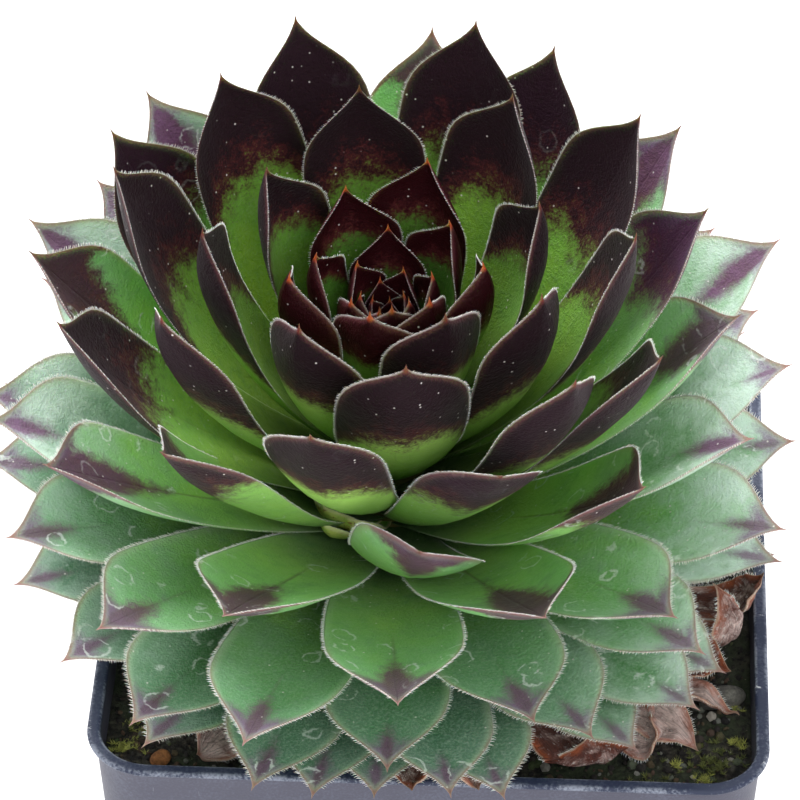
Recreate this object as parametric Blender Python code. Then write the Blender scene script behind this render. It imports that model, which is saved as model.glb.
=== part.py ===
"""Potted houseleek: one rosette of fleshy leaves in a square plastic pot of soil.

Lengths are written in millimetres times MM, so the model is in metres. +Z is up,
the origin is the middle of the pot's underside, and -Y is the rosette's front.
"""

from collections import namedtuple

import bmesh
import bpy
import numpy as np
from mathutils import Matrix, Vector, noise

MM = 0.001
CLEARANCE = 0.3 * MM

# Pot
POT_HEIGHT = 79.4 * MM
RIM_WIDTH = 90 * MM
BASE_WIDTH = 80 * MM
RIM_CORNER = 8.5 * MM
BASE_CORNER = 7 * MM
WALL = 0.8 * MM
FLOOR = 1.4 * MM
LIP_OVERHANG = 1.0 * MM
LIP_DEPTH = 0.8 * MM
LIP_ROUND = 0.3 * MM
DRAIN_RADIUS = 1.9 * MM
DRAIN_SPACING = 44 * MM
CORNER_STEPS = 5

# Soil
SOIL_LEVEL = 75 * MM
SOIL_MOUND = 0.8 * MM
SOIL_BUMP = 0.5 * MM
SOIL_RINGS = (1.0, 0.93, 0.84, 0.74, 0.63, 0.51, 0.38, 0.24)

# Rosette: its axis stands a little off the pot's middle and leans to the front
ROSETTE_FOOT = Vector((-6.7 * MM, -2.3 * MM, SOIL_LEVEL))
LEAN = np.radians(7.8)
LEAN_PIVOT = 25 * MM
STEM_SIDES = 12
# Height above the soil and radius, in mm, from the root's end to the growing point
STEM_PROFILE = ((-22, 1.6), (-12, 3.6), (-2, 5.2), (4, 6.4), (15, 6.6), (28, 5.0), (37, 1.5))

# Leaves: each next older leaf stands a golden angle further round, clockwise from above
GREEN_AGES = (*range(113), 117, 120, 125)
GOLDEN_ANGLE = 137.5
FIRST_LEAF_TURN = 306.5
ROLL_SPREAD = 4
SEED = 7

# How a leaf stands at each age, from the bud outwards. Age counts leaves, the tip and
# the root are in mm from the axis and above the soil, leave and arrive are the angles
# above the horizon at the root and at the tip, cup is depth over half the width, and a
# higher shoulder gives a blunter end.
Stage = namedtuple(
    "Stage", "age tip_radius tip_height root_height width thickness leave arrive cup shoulder")
STAGES = (
    Stage(0, 1, 53, 37, 3.5, 1.2, 84, 95, 0.35, 1.5),
    Stage(10, 4, 57.5, 35, 7, 1.4, 82, 100, 0.50, 1.5),
    Stage(16, 9, 62, 32, 10.5, 1.7, 74, 104, 0.60, 1.6),
    Stage(22, 14.5, 66.5, 28, 13.5, 2.0, 64, 102, 0.60, 1.8),
    Stage(28, 24, 70.5, 24, 16, 2.3, 48, 96, 0.38, 2.1),
    Stage(36, 35, 71.5, 19, 16.5, 2.3, 42, 80, 0.30, 2.1),
    Stage(46, 45, 60, 14, 16.5, 2.3, 32, 60, 0.32, 2.0),
    Stage(58, 52.5, 47, 11, 17, 2.4, 30, 40, 0.32, 2.0),
    Stage(74, 54.5, 34, 9, 17, 2.7, 30, 16, 0.24, 2.0),
    Stage(92, 55.5, 20.5, 7.5, 15, 2.4, 20, 4, 0.16, 2.0),
    Stage(110, 53.5, 16.5, 6.5, 13.5, 2.2, 12, 6, 0.14, 2.0),
    Stage(125, 53.5, 15, 6.0, 13, 2.0, 10, 8, 0.12, 2.0),
)
# Leaves that grew out of line: degrees further round, and share of the reach
OUT_OF_LINE = {
    19: (-6, 1.05), 23: (6, 1.0), 24: (-10, 1.08), 25: (-5, 1.03), 27: (-3, 1.1), 29: (2, 0.92),
    30: (3, 0.99), 31: (4, 0.95), 32: (-4, 1.15), 33: (-4, 1.03), 34: (-6, 1.03), 35: (-10, 1.1),
    36: (5, 1.06), 38: (1, 1.03), 39: (4, 0.96), 40: (-7, 1.09), 41: (-7, 1.0), 42: (-2, 1.06),
    43: (-2, 1.05), 44: (7, 0.93), 46: (5, 0.96), 47: (-4, 0.91), 48: (0, 0.88), 49: (-3, 1.0),
    50: (-8, 1.0), 51: (-6, 1.0), 52: (12, 0.85), 53: (6, 0.98), 54: (10, 0.92), 55: (-2, 0.99),
    56: (10, 1.12), 57: (-4, 1.0), 58: (-3, 1.01), 59: (-2, 1.06), 60: (2, 0.95), 62: (13, 0.94),
    65: (-5, 1.05), 68: (5, 1.04), 70: (4, 1.0), 71: (9, 1.0), 73: (-4, 1.1), 75: (-4, 1.03),
    78: (1, 1.0), 80: (8, 1.0), 81: (0, 1.08), 83: (-4, 1.01), 86: (1, 0.99), 88: (8, 1.0),
    89: (3, 1.0), 91: (-2, 0.97), 94: (3, 1.02), 96: (9, 1.0), 97: (5, 0.98), 99: (-3, 1.0),
    102: (6, 1.02), 104: (2, 1.04), 107: (-2, 1.0), 110: (8, 0.92), 112: (-8, 1.02),
    117: (-2, 1.02), 120: (-6, 0.97), 125: (0, 1.02),
}
# Leaves with a bend of their own: what differs in the stage, and the roll in degrees
OWN_SHAPE = {
    24: {"width": 12.5, "cup": 0.7},
    36: {"width": 15}, 39: {"width": 15},
    44: {"width": 15.2, "leave": 36, "arrive": 56, "cup": 0.24},
    47: {"width": 15, "cup": 0.4},
    48: {"tip_height": 50},
    51: {"tip_height": 58},
    52: {"width": 16, "leave": 24, "arrive": 58, "cup": 0.3, "tip_height": 53},
    53: {"tip_height": 57},
}
OWN_ROLL = {44: -17, 47: 6, 52: -24}
RISE_PER_REACH = 8

# Leaflets of a small bud at the front left: turn, the tip's radius and height, and width
BUD_LEAFLETS = ((-27, 17.6, 31.2, 6.4), (-26, 18.3, 28.6, 4.4), (-17, 16.4, 29.0, 6.6))
BUD_STAGE = Stage(0, 0, 0, 14, 0, 1.2, 15, 72, 0.35, 1.5)

# Outline of a leaf: half-width over the greatest half-width, against length from root to tip
LEAF_STATIONS = (0.04, 0.40, 0.66, 0.80, 0.90, 0.965)
YOUNG_STATIONS = (0.04, 0.45, 0.72, 0.90)
YOUNG_UNTIL = 12
WIDEST_AT = 0.73
ROOT_SHARE = 0.42
LEAF_ROOT_RADIUS = 1.0
# Cross-sections, clockwise seen from the tip: side over half-width, rise, share of thickness
FLESHY_SECTION = ((1, 1, 0.12), (0, 0, 0), (-1, 1, 0.12), (-0.5, 0.25, 0.9), (0.5, 0.25, 0.9))
PAPERY_SECTION = ((1, 1, 0), (0, 0, 0), (-1, 1, 0), (-1, 1, 1), (0, 0, 1), (1, 1, 1))

# Withered leaves carry the spiral on below the green ones, from a collar of dead leaf bases
DRY_AGES = (
    *range(113, 117), 118, 119, *range(121, 125), *range(126, 132), 133, 136, 138, 141, 143, 146, 151
)
DRY_STAGE = Stage(0, 46, 2.0, 1.4, 10.5, 0.8, 0, 0, 0.25, 1.5)
DRY_HANDLES = (0.35, 0.2)
DRY_STATIONS = (0.0, 0.35, 0.6, 0.8, 0.93)
DRY_ROOT_RADIUS = 8.5
DRY_WALL_GAP = 1.5
COLLAR_PROFILE = ((7.1, 0.5), (10.0, 0.5), (10.4, 1.2), (9.0, 2.0), (7.1, 2.0))
COLLAR_SIDES = 18
# Those that curl up into sight: turn, roll along the blade, and what differs in the stage
CURLED = {
    122: (80, 15, {"tip_radius": 51.5, "tip_height": 8.8, "arrive": 72, "width": 6.5, "cup": 0.4}),
    133: (70, -20, {"tip_radius": 46.5, "tip_height": 13, "arrive": 132, "width": 6.5, "cup": 0.9}),
    143: (63, 15, {"tip_radius": 52.5, "tip_height": 4.3, "arrive": 5, "width": 9, "cup": 0.5}),
    130: (58, -25, {"tip_radius": 56.5, "tip_height": 2.4, "arrive": -5, "width": 5, "cup": 0.5}),
    151: (50, 5, {"tip_radius": 55.5, "tip_height": 1.6, "arrive": -10, "width": 8.5, "cup": 0.3}),
    138: (46, 55, {"tip_radius": 50, "tip_height": 7, "leave": 10, "arrive": 98, "width": 7}),
    146: (35, -18, {"tip_radius": 47.8, "tip_height": 7.3, "leave": 15, "arrive": 110, "width": 13}),
    128: (16, 0, {"tip_radius": 50, "tip_height": 5.3, "leave": 12, "arrive": -12, "cup": 0.05}),
    141: (6, 0, {"tip_radius": 49, "tip_height": 5.3, "leave": 12, "arrive": -12, "cup": 0.05}),
    136: (-30, -20, {"tip_radius": 47, "tip_height": 2.6, "arrive": 30, "width": 9, "cup": 0.4}),
}

# Stones pressed into the soil: middle and half sizes in mm, and turn in degrees
STONES = {
    "grey_stone": ((39.0, -23.7, 75.3), (3.1, 1.8, 1.6), 18),
    "brown_stone": ((-35.3, -38.1, 75.1), (1.5, 1.2, 1.2), 40),
}
STONE_ROUGHNESS = 0.16

MATERIALS = {
    "black_plastic": ((0.020, 0.022, 0.030), 0.35),
    "potting_soil": ((0.018, 0.013, 0.010), 0.95),
    "leaf_flesh": ((0.080, 0.170, 0.040), 0.50),
    "dry_leaf": ((0.300, 0.140, 0.070), 0.85),
    "grey_stone": ((0.230, 0.220, 0.190), 0.80),
    "brown_stone": ((0.230, 0.110, 0.045), 0.80),
}


def clear_scene():
    for obj in list(bpy.data.objects):
        bpy.data.objects.remove(obj)


def material(name):
    colour, roughness = MATERIALS[name]
    made = bpy.data.materials.get(name) or bpy.data.materials.new(name)
    made.use_nodes = True
    made.diffuse_color = (*colour, 1)
    shader = made.node_tree.nodes["Principled BSDF"]
    shader.inputs["Base Color"].default_value = (*colour, 1)
    shader.inputs["Roughness"].default_value = roughness
    shader.inputs["Metallic"].default_value = 0
    return made


def new_object(name, points, faces, material_name, collection=None):
    mesh = bpy.data.meshes.new(name)
    mesh.from_pydata([tuple(p) for p in points], [], faces)
    mesh.materials.append(material(material_name))
    obj = bpy.data.objects.new(name, mesh)
    (collection or bpy.context.scene.collection).objects.link(obj)
    return obj


def lofted(name, rings, material_name, collection=None):
    """Skins equal rings of points in order, and closes both ends with a fan."""
    count, sides = len(rings), len(rings[0])
    points = [p for ring in rings for p in ring]
    points += [np.mean(rings[0], axis=0), np.mean(rings[-1], axis=0)]
    start, end = count * sides, count * sides + 1
    faces = []
    for j in range(sides):
        k = (j + 1) % sides
        faces.append((start, k, j))
        faces.append((end, (count - 1) * sides + j, (count - 1) * sides + k))
        for i in range(count - 1):
            a, b = i * sides + j, i * sides + k
            faces.append((a, b, a + sides))
            faces.append((b, b + sides, a + sides))
    return new_object(name, points, faces, material_name, collection)


def rounded_square(half, corner, height):
    """Points round a square with rounded corners, anticlockwise seen from above."""
    points = []
    for quarter in range(4):
        for step in range(CORNER_STEPS + 1):
            turn = np.pi / 2 * (quarter + step / CORNER_STEPS)
            middle = np.pi / 2 * (quarter + 0.5)
            centre = (half - corner) * np.sqrt(2) * np.array([np.cos(middle), np.sin(middle)])
            x, y = centre + corner * np.array([np.cos(turn), np.sin(turn)])
            points.append((x, y, height))
    return points


def wall_half(height):
    """Half the outside width of the tapering wall at a height."""
    top = RIM_WIDTH / 2 - LIP_OVERHANG
    return BASE_WIDTH / 2 + (top - BASE_WIDTH / 2) * height / POT_HEIGHT


def wall_corner(height):
    return BASE_CORNER + (RIM_CORNER - LIP_OVERHANG - BASE_CORNER) * height / POT_HEIGHT


def inside_ring(height, gap=0.0, share=1.0):
    half = (wall_half(height) - WALL - gap) * share
    return rounded_square(half, (wall_corner(height) - WALL) * share, height)


def cut(obj, cutter):
    """Takes the cutter away from an object for good."""
    modifier = obj.modifiers.new("cut", "BOOLEAN")
    modifier.operation = "DIFFERENCE"
    modifier.solver = "EXACT"
    modifier.object = cutter
    apply_modifiers(obj)
    bpy.data.objects.remove(cutter)


def apply_modifiers(obj):
    graph = bpy.context.evaluated_depsgraph_get()
    mesh = bpy.data.meshes.new_from_object(obj.evaluated_get(graph))
    obj.modifiers.clear()
    obj.data = mesh


def keep_outer_shell(obj):
    """Drops what fusing leaves inside: sealed hollows and loose scraps."""
    shape = bmesh.new()
    shape.from_mesh(obj.data)
    islands, seen = [], set()
    for first in shape.verts:
        if first in seen:
            continue
        island, ahead = [], [first]
        seen.add(first)
        while ahead:
            vertex = ahead.pop()
            island.append(vertex)
            for edge in vertex.link_edges:
                other = edge.other_vert(vertex)
                if other not in seen:
                    seen.add(other)
                    ahead.append(other)
        islands.append(island)
    islands.sort(key=len)
    scraps = [vertex for island in islands[:-1] for vertex in island]
    bmesh.ops.delete(shape, geom=scraps, context="VERTS")
    shape.to_mesh(obj.data)
    shape.free()


def fuse(core, collection):
    """Joins a core and every object of a collection into one body."""
    modifier = core.modifiers.new("fuse", "BOOLEAN")
    modifier.operation = "UNION"
    modifier.solver = "MANIFOLD"
    modifier.operand_type = "COLLECTION"
    modifier.collection = collection
    apply_modifiers(core)
    for obj in list(collection.objects):
        bpy.data.objects.remove(obj)
    bpy.data.collections.remove(collection)
    keep_outer_shell(core)


def hidden_collection(name):
    made = bpy.data.collections.new(name)
    bpy.context.scene.collection.children.link(made)
    return made


def rosette_frame():
    """Places the rosette's own frame, +Z along its axis, in the pot."""
    pivot = Matrix.Translation((0, 0, LEAN_PIVOT))
    lean = pivot @ Matrix.Rotation(LEAN, 4, "X") @ pivot.inverted()
    return Matrix.Translation(ROSETTE_FOOT) @ lean


def make_pot():
    lip = RIM_WIDTH / 2
    under = POT_HEIGHT - LIP_DEPTH
    inner = wall_half(POT_HEIGHT) - WALL
    inner_corner = wall_corner(POT_HEIGHT) - WALL
    rings = [
        rounded_square(BASE_WIDTH / 2 - 0.6 * MM, BASE_CORNER, 0),
        rounded_square(wall_half(0.6 * MM), BASE_CORNER, 0.6 * MM),
        rounded_square(wall_half(under), wall_corner(under), under),
        rounded_square(lip - LIP_ROUND, RIM_CORNER - LIP_ROUND, under),
        rounded_square(lip, RIM_CORNER, under + LIP_ROUND),
        rounded_square(lip, RIM_CORNER, POT_HEIGHT - LIP_ROUND),
        rounded_square(lip - LIP_ROUND, RIM_CORNER - LIP_ROUND, POT_HEIGHT),
        rounded_square(inner + LIP_ROUND, inner_corner + LIP_ROUND, POT_HEIGHT),
        rounded_square(inner, inner_corner, POT_HEIGHT - LIP_ROUND),
        inside_ring(FLOOR),
    ]
    pot = lofted("pot", rings, "black_plastic")
    for x in (-DRAIN_SPACING / 2, DRAIN_SPACING / 2):
        for y in (-DRAIN_SPACING / 2, DRAIN_SPACING / 2):
            circle = [(x + DRAIN_RADIUS * np.cos(a), y + DRAIN_RADIUS * np.sin(a))
                      for a in np.linspace(0, 2 * np.pi, 12, endpoint=False)]
            rings = [[(*p, z) for p in circle] for z in (-FLOOR, 2 * FLOOR)]
            cut(pot, lofted("drain", rings, "black_plastic"))
    return pot


def soil_height(x, y):
    """A low mound under the rosette with small bumps."""
    away = np.hypot(x - ROSETTE_FOOT.x, y - ROSETTE_FOOT.y)
    mound = SOIL_MOUND * np.exp(-((away / (22 * MM)) ** 2))
    return SOIL_LEVEL - SOIL_MOUND + mound + SOIL_BUMP * noise.noise(Vector((x, y, 0.5)) / (6 * MM))


def make_soil(holes):
    bottom = FLOOR + CLEARANCE
    rings = [inside_ring(bottom, CLEARANCE)]
    for share in SOIL_RINGS:
        ring = inside_ring(SOIL_LEVEL, CLEARANCE, share)
        rings.append([(x, y, soil_height(x, y)) for x, y, _ in ring])
    soil = lofted("potting_soil", rings, "potting_soil")
    for hole in holes:
        cut(soil, hole)
    return soil


def stem_rings(gap=0.0):
    rings = []
    for height, radius in STEM_PROFILE:
        size = radius * MM + gap
        level = height * MM - (gap if height == STEM_PROFILE[0][0] else 0)
        turns = np.linspace(0, 2 * np.pi, STEM_SIDES, endpoint=False)
        rings.append([(size * np.cos(a), size * np.sin(a), level) for a in turns])
    return rings


def stage_at(age):
    """The stage between two ages, each value in step with the age."""
    ages = [stage.age for stage in STAGES]
    return Stage(*[np.interp(age, ages, column) for column in zip(*STAGES)])


def outline(along, shoulder):
    """Half-width share of a houseleek leaf: a broad strap, round shoulders and a short point."""
    if along < WIDEST_AT:
        share = np.sin(np.pi / 2 * along / WIDEST_AT)
        return ROOT_SHARE + (1 - ROOT_SHARE) * share**1.6
    past = (along - WIDEST_AT) / (1 - WIDEST_AT)
    return 0.45 * (1 + np.cos(np.pi * past**shoulder)) + 0.1 * np.sqrt(1 - past)


def body(along):
    """Thickness share: fleshy at the root, thin towards the point."""
    return 1 - 0.25 * along - 0.45 * along**6


def leaf_turn(age):
    astray = OUT_OF_LINE.get(age, (0, 1))[0]
    return np.radians(FIRST_LEAF_TURN - GOLDEN_ANGLE * age + astray)


def leaf_stage(age):
    stage = stage_at(age)
    reach = OUT_OF_LINE.get(age, (0, 1))[1]
    height = stage.tip_height + (1 - reach) * RISE_PER_REACH
    stage = stage._replace(tip_radius=stage.tip_radius * reach, tip_height=height)
    return stage._replace(**OWN_SHAPE.get(age, {}))


def leaf_rings(turn, stage, stations, roll=0.0, section=FLESHY_SECTION, root_radius=LEAF_ROOT_RADIUS,
               handles=(1 / 3, 1 / 3)):
    """Cross-sections of a leaf bent along a Bezier curve in its upright plane, and its point."""
    root = np.array([root_radius, stage.root_height])
    tip = np.array([stage.tip_radius, stage.tip_height])
    length = np.linalg.norm(tip - root)
    leave, arrive = np.radians(stage.leave), np.radians(stage.arrive)
    corners = (
        root,
        root + handles[0] * length * np.array([np.cos(leave), np.sin(leave)]),
        tip - handles[1] * length * np.array([np.cos(arrive), np.sin(arrive)]),
        tip,
    )
    out = np.array([np.sin(turn), -np.cos(turn), 0])
    side = np.array([np.cos(turn), np.sin(turn), 0])
    up = np.array([0, 0, 1])
    papery = section is PAPERY_SECTION

    def middle(t):
        weights = ((1 - t) ** 3, 3 * (1 - t) ** 2 * t, 3 * (1 - t) * t**2, t**3)
        return sum(w * c for w, c in zip(weights, corners))

    rings = []
    for along in stations:
        here = middle(along)
        ahead = middle(along + 0.01) - middle(along - 0.01)
        ahead /= np.linalg.norm(ahead)
        normal = -ahead[1] * out + ahead[0] * up
        across = side * np.cos(roll * along) + normal * np.sin(roll * along)
        normal = normal * np.cos(roll * along) - side * np.sin(roll * along)
        half = stage.width / 2 * outline(along, stage.shoulder)
        thick = stage.thickness * (1 if papery else body(along))
        cup = stage.cup * (along if papery else 0.5 + 0.9 * along**3)
        centre = here[0] * out + here[1] * up
        ring = []
        for sideways, rise, depth in section:
            height = cup * half * rise - thick * depth
            ring.append((centre + sideways * half * across + height * normal) * MM)
        rings.append(ring)
    point = (tip[0] * out + tip[1] * up) * MM
    return rings, point


def add_leaf(name, rings, point, material_name, collection):
    """A leaf as one closed body, its upper and lower faces split the same way."""
    sides = len(rings[0])
    points = [p for ring in rings for p in ring] + [point]
    last = (len(rings) - 1) * sides
    faces = [tuple(reversed(range(sides)))]
    for j in range(sides):
        k = (j + 1) % sides
        for i in range(len(rings) - 1):
            a, b = i * sides + j, i * sides + k
            c, d = b + sides, a + sides
            faces += [(a, b, d), (b, c, d)] if j < sides // 2 else [(a, b, c), (a, c, d)]
        faces.append((last + j, last + k, len(points) - 1))
    return new_object(name, points, faces, material_name, collection)


def make_rosette():
    stem = lofted("rosette", stem_rings(), "leaf_flesh")
    leaves = hidden_collection("leaves")
    chance = np.random.default_rng(SEED)
    for age in GREEN_AGES:
        by_chance = chance.normal(0, ROLL_SPREAD)
        roll = np.radians(OWN_ROLL.get(age, by_chance))
        stations = YOUNG_STATIONS if age < YOUNG_UNTIL else LEAF_STATIONS
        rings, point = leaf_rings(leaf_turn(age), leaf_stage(age), stations, roll)
        add_leaf("leaf", rings, point, "leaf_flesh", leaves)
    for turn, radius, height, width in BUD_LEAFLETS:
        stage = BUD_STAGE._replace(tip_radius=radius, tip_height=height, width=width)
        rings, point = leaf_rings(np.radians(turn), stage, YOUNG_STATIONS)
        add_leaf("bud", rings, point, "leaf_flesh", leaves)
    fuse(stem, leaves)
    stem.data.transform(rosette_frame())
    return stem


def make_hole():
    """What the root takes out of the soil, with its clearance."""
    hole = lofted("hole", stem_rings(CLEARANCE), "potting_soil")
    hole.data.transform(rosette_frame())
    return hole


def collar_foot():
    """Where the leaning stem leaves the soil."""
    return rosette_frame().translation


def room_to_wall(turn):
    """Distance in mm from the stem's foot to the pot's inner wall, that way round."""
    foot = collar_foot()
    half, corner = wall_half(SOIL_LEVEL) - WALL, wall_corner(SOIL_LEVEL) - WALL
    for room in np.arange(70, 20, -0.25):
        x = abs(foot.x + room * MM * np.sin(turn))
        y = abs(foot.y - room * MM * np.cos(turn))
        past_x, past_y = max(x - half + corner, 0), max(y - half + corner, 0)
        if np.hypot(past_x, past_y) < corner:
            return room
    return 0


def make_withered_leaves():
    profile = [(radius * MM, height * MM) for radius, height in COLLAR_PROFILE]
    collar = turned("withered_leaves", profile, COLLAR_SIDES, "dry_leaf")
    leaves = hidden_collection("withered")
    chance = np.random.default_rng(SEED)
    for age in DRY_AGES:
        turn = FIRST_LEAF_TURN - GOLDEN_ANGLE * age
        roll = chance.normal(0, 8)
        stage = DRY_STAGE._replace(
            tip_radius=DRY_STAGE.tip_radius * chance.uniform(0.8, 1.0),
            tip_height=DRY_STAGE.tip_height + chance.uniform(-0.6, 1.2),
            width=DRY_STAGE.width + chance.uniform(-1.5, 1.5),
            arrive=chance.uniform(-10, 15),
        )
        if age in CURLED:
            turn, roll, changes = CURLED[age]
            stage = stage._replace(**changes)
        turn = np.radians(turn)
        if age not in CURLED:
            limit = room_to_wall(turn) - DRY_WALL_GAP
            stage = stage._replace(tip_radius=min(stage.tip_radius, limit))
        curl = 0.25 + max(stage.arrive - 100, 0) / 170
        handles = (0.9, curl) if stage.arrive > 60 else DRY_HANDLES
        rings, point = leaf_rings(turn, stage, DRY_STATIONS, np.radians(roll), PAPERY_SECTION,
                                  DRY_ROOT_RADIUS, handles)
        add_leaf("leaf", rings, point, "dry_leaf", leaves)
    fuse(collar, leaves)
    collar.data.transform(Matrix.Translation(collar_foot()))
    return collar


def turned(name, profile, sides, material_name):
    """A ring turned round Z from a closed outline of radius and height."""
    count = len(profile)
    points, faces = [], []
    for turn in np.linspace(0, 2 * np.pi, sides, endpoint=False):
        points += [(r * np.cos(turn), r * np.sin(turn), z) for r, z in profile]
    for i in range(sides):
        for j in range(count):
            a, b = i * count + j, i * count + (j + 1) % count
            c, d = ((i + 1) % sides) * count + (j + 1) % count, ((i + 1) % sides) * count + j
            faces.append((a, d, c, b))
    return new_object(name, points, faces, material_name)


def make_stone(name, swell=0.0):
    """A pebble: a low-sided ball, squashed, turned and knocked about a little."""
    middle, half, turn = STONES[name]
    shape = bmesh.new()
    bmesh.ops.create_icosphere(shape, subdivisions=2, radius=1)
    for vertex in shape.verts:
        dent = 1 + STONE_ROUGHNESS * noise.noise(vertex.co * 1.7 + Vector(middle))
        vertex.co = Vector(c * (h + swell) * dent for c, h in zip(vertex.co, half))
    place = Matrix.Translation(Vector(middle) * MM) @ Matrix.Rotation(np.radians(turn), 4, "Z")
    bmesh.ops.transform(shape, matrix=place @ Matrix.Scale(MM, 4), verts=shape.verts)
    mesh = bpy.data.meshes.new(name)
    shape.to_mesh(mesh)
    shape.free()
    mesh.materials.append(material(name))
    stone = bpy.data.objects.new(name, mesh)
    bpy.context.scene.collection.objects.link(stone)
    return stone


def main():
    clear_scene()
    make_pot()
    seats = [make_stone(name, CLEARANCE / MM) for name in STONES]
    make_soil([make_hole(), *seats])
    for name in STONES:
        make_stone(name)
    make_rosette()
    make_withered_leaves()


main()
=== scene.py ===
# %% [markdown]
# # A potted houseleek
# One rosette of a houseleek sits in a square black nursery pot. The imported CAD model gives
# the frame: its pot, its soil and every leaf stand where the source says. This lesson loads
# that frame and replaces each plain solid by a finer surface that keeps its form.

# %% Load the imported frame
from functools import partialmethod

import bpy
import numpy as np
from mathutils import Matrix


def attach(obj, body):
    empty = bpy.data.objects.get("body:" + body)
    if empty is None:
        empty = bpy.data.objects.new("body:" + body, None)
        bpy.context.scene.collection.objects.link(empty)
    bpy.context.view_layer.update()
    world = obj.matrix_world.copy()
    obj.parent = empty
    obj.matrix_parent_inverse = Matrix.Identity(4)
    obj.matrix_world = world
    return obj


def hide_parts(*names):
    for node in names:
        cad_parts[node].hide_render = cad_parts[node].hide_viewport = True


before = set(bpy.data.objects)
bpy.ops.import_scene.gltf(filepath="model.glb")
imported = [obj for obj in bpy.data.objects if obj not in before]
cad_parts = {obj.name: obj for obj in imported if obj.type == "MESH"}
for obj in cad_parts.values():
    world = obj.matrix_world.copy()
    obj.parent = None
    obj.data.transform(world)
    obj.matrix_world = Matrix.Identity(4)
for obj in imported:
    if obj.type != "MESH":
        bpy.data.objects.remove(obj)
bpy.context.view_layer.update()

MM = 0.001

# %% [markdown]
# ## The camera
# The camera comes first, because everything after it is judged through it. It looks down on
# the pot by 41 degrees, through a long lens, so the pot's sides stay nearly parallel. The
# corners of the pot's rim gave the place and the lens.

# %% Camera
CAMERA_PLACE = (14.97 * MM, -436.35 * MM, 486.08 * MM)
CAMERA_PITCH, CAMERA_YAW = 41.02, 2.665

camera_data = bpy.data.cameras.new("camera")
camera_data.sensor_width, camera_data.lens = 36, 194.4
camera_data.clip_start = 0.01
camera = bpy.data.objects.new("camera", camera_data)
camera.location = CAMERA_PLACE
camera.rotation_euler = (np.radians(90 - CAMERA_PITCH), 0, np.radians(CAMERA_YAW))
bpy.context.scene.collection.objects.link(camera)
bpy.context.scene.camera = camera
print("camera looks down by", CAMERA_PITCH, "degrees")

# %% [markdown]
# ## Surfaces from grids
# Nearly every piece here is a grid of points bent into a shape: rows run one way, columns
# the other. A grid that closes on itself is a tube, and a tube with both ends pinched or
# capped is a closed body. One helper turns arrays of points and faces into a mesh, with the
# piece's own maps for the materials, and another closes rings of points to a tube.

# %% Meshes from arrays
def grid(*values):
    """Numbers side by side in a last axis, each stretched to the shape that they share."""
    return np.stack(np.broadcast_arrays(*values), axis=-1)


def full_turn(count):
    """Angles in equal steps once round, 2 * pi * k / count."""
    return 2 * np.pi * np.arange(count) / count


def circle(turns, radius=1.0):
    """The two coordinates of points at a radius from the middle, at angles."""
    return radius * np.cos(turns), radius * np.sin(turns)


def unit(ways):
    """Directions (n, 3), each divided by its length."""
    return ways / np.linalg.norm(ways, axis=1, keepdims=True)


def new_piece(name, points, faces, maps=None, smooth=True):
    """A mesh object from points (n, 3) and a list of face arrays with 3 or 4 corners each.
    maps holds UV maps: a name and two numbers for each point."""
    corners = np.concatenate([part.ravel() for part in faces]).astype(np.int32)
    sizes = np.concatenate([np.full(len(part), part.shape[1]) for part in faces])
    mesh = bpy.data.meshes.new(name)
    mesh.vertices.add(len(points))
    mesh.vertices.foreach_set("co", np.asarray(points, np.float32).ravel())
    mesh.loops.add(len(corners))
    mesh.loops.foreach_set("vertex_index", corners)
    mesh.polygons.add(len(sizes))
    mesh.polygons.foreach_set("loop_start", (np.cumsum(sizes) - sizes).astype(np.int32))
    mesh.update(calc_edges=True)
    for key, values in (maps or {}).items():
        layer = mesh.uv_layers.new(name=key)
        layer.uv.foreach_set("vector", np.asarray(values, np.float32)[corners].ravel())
    mesh.polygons.foreach_set("use_smooth", np.full(len(sizes), smooth))
    piece = bpy.data.objects.new(name, mesh)
    bpy.context.scene.collection.objects.link(piece)
    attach(piece, "root")
    triangles = int((sizes - 2).sum())
    print(f"{name}: {triangles} triangles")
    return piece


def tube(rings):
    """Points and faces of a tube of rings (rows, columns, 3), both ends closed by a fan to one
    extra point. The extra points follow the rings. Faces look outwards where each ring runs
    anticlockwise, seen from the last ring's side."""
    rows, columns = rings.shape[:2]
    ring = np.arange(columns)
    following = (ring + 1) % columns
    start = columns * np.arange(rows - 1)[:, None]
    quads = grid(start + ring, start + following, start + columns + following,
                 start + columns + ring).reshape(-1, 4)
    low, last = rows * columns, (rows - 1) * columns
    fans = [grid(low, following, ring), grid(low + 1, last + ring, last + following)]
    ends = np.stack([rings[0].mean(axis=0), rings[-1].mean(axis=0)])
    return np.concatenate([rings.reshape(-1, 3), ends]), [quads, *fans]


# %% Smooth chance
def field(points, size, seed):
    """A smooth random field from -0.5 to 0.5: random numbers on a lattice of cells, and
    between a cell's eight corners their mean, weighted by 3x^2 - 2x^3 each way."""
    lattice = np.random.default_rng(seed).random((16, 16, 16))
    cell = np.asarray(points) / size
    low = np.floor(cell).astype(int)
    part = cell - low
    part = part * part * (3 - 2 * part)
    total = np.zeros(cell.shape[:-1])
    for corner in np.ndindex(2, 2, 2):
        weight = np.prod(np.where(corner, part, 1 - part), axis=-1)
        x, y, z = np.moveaxis((low + corner) % 16, -1, 0)
        total += weight * lattice[x, y, z]
    return total - 0.5


# %% [markdown]
# ## Materials as formulas
# A material here is a formula over the surface. A small class wraps a node's output, so that
# plus, minus, times and divide add the Math nodes, and one method adds any other node. The
# surface's own maps say where on a leaf a point is, so a stain can follow the leaf's tip.

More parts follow.
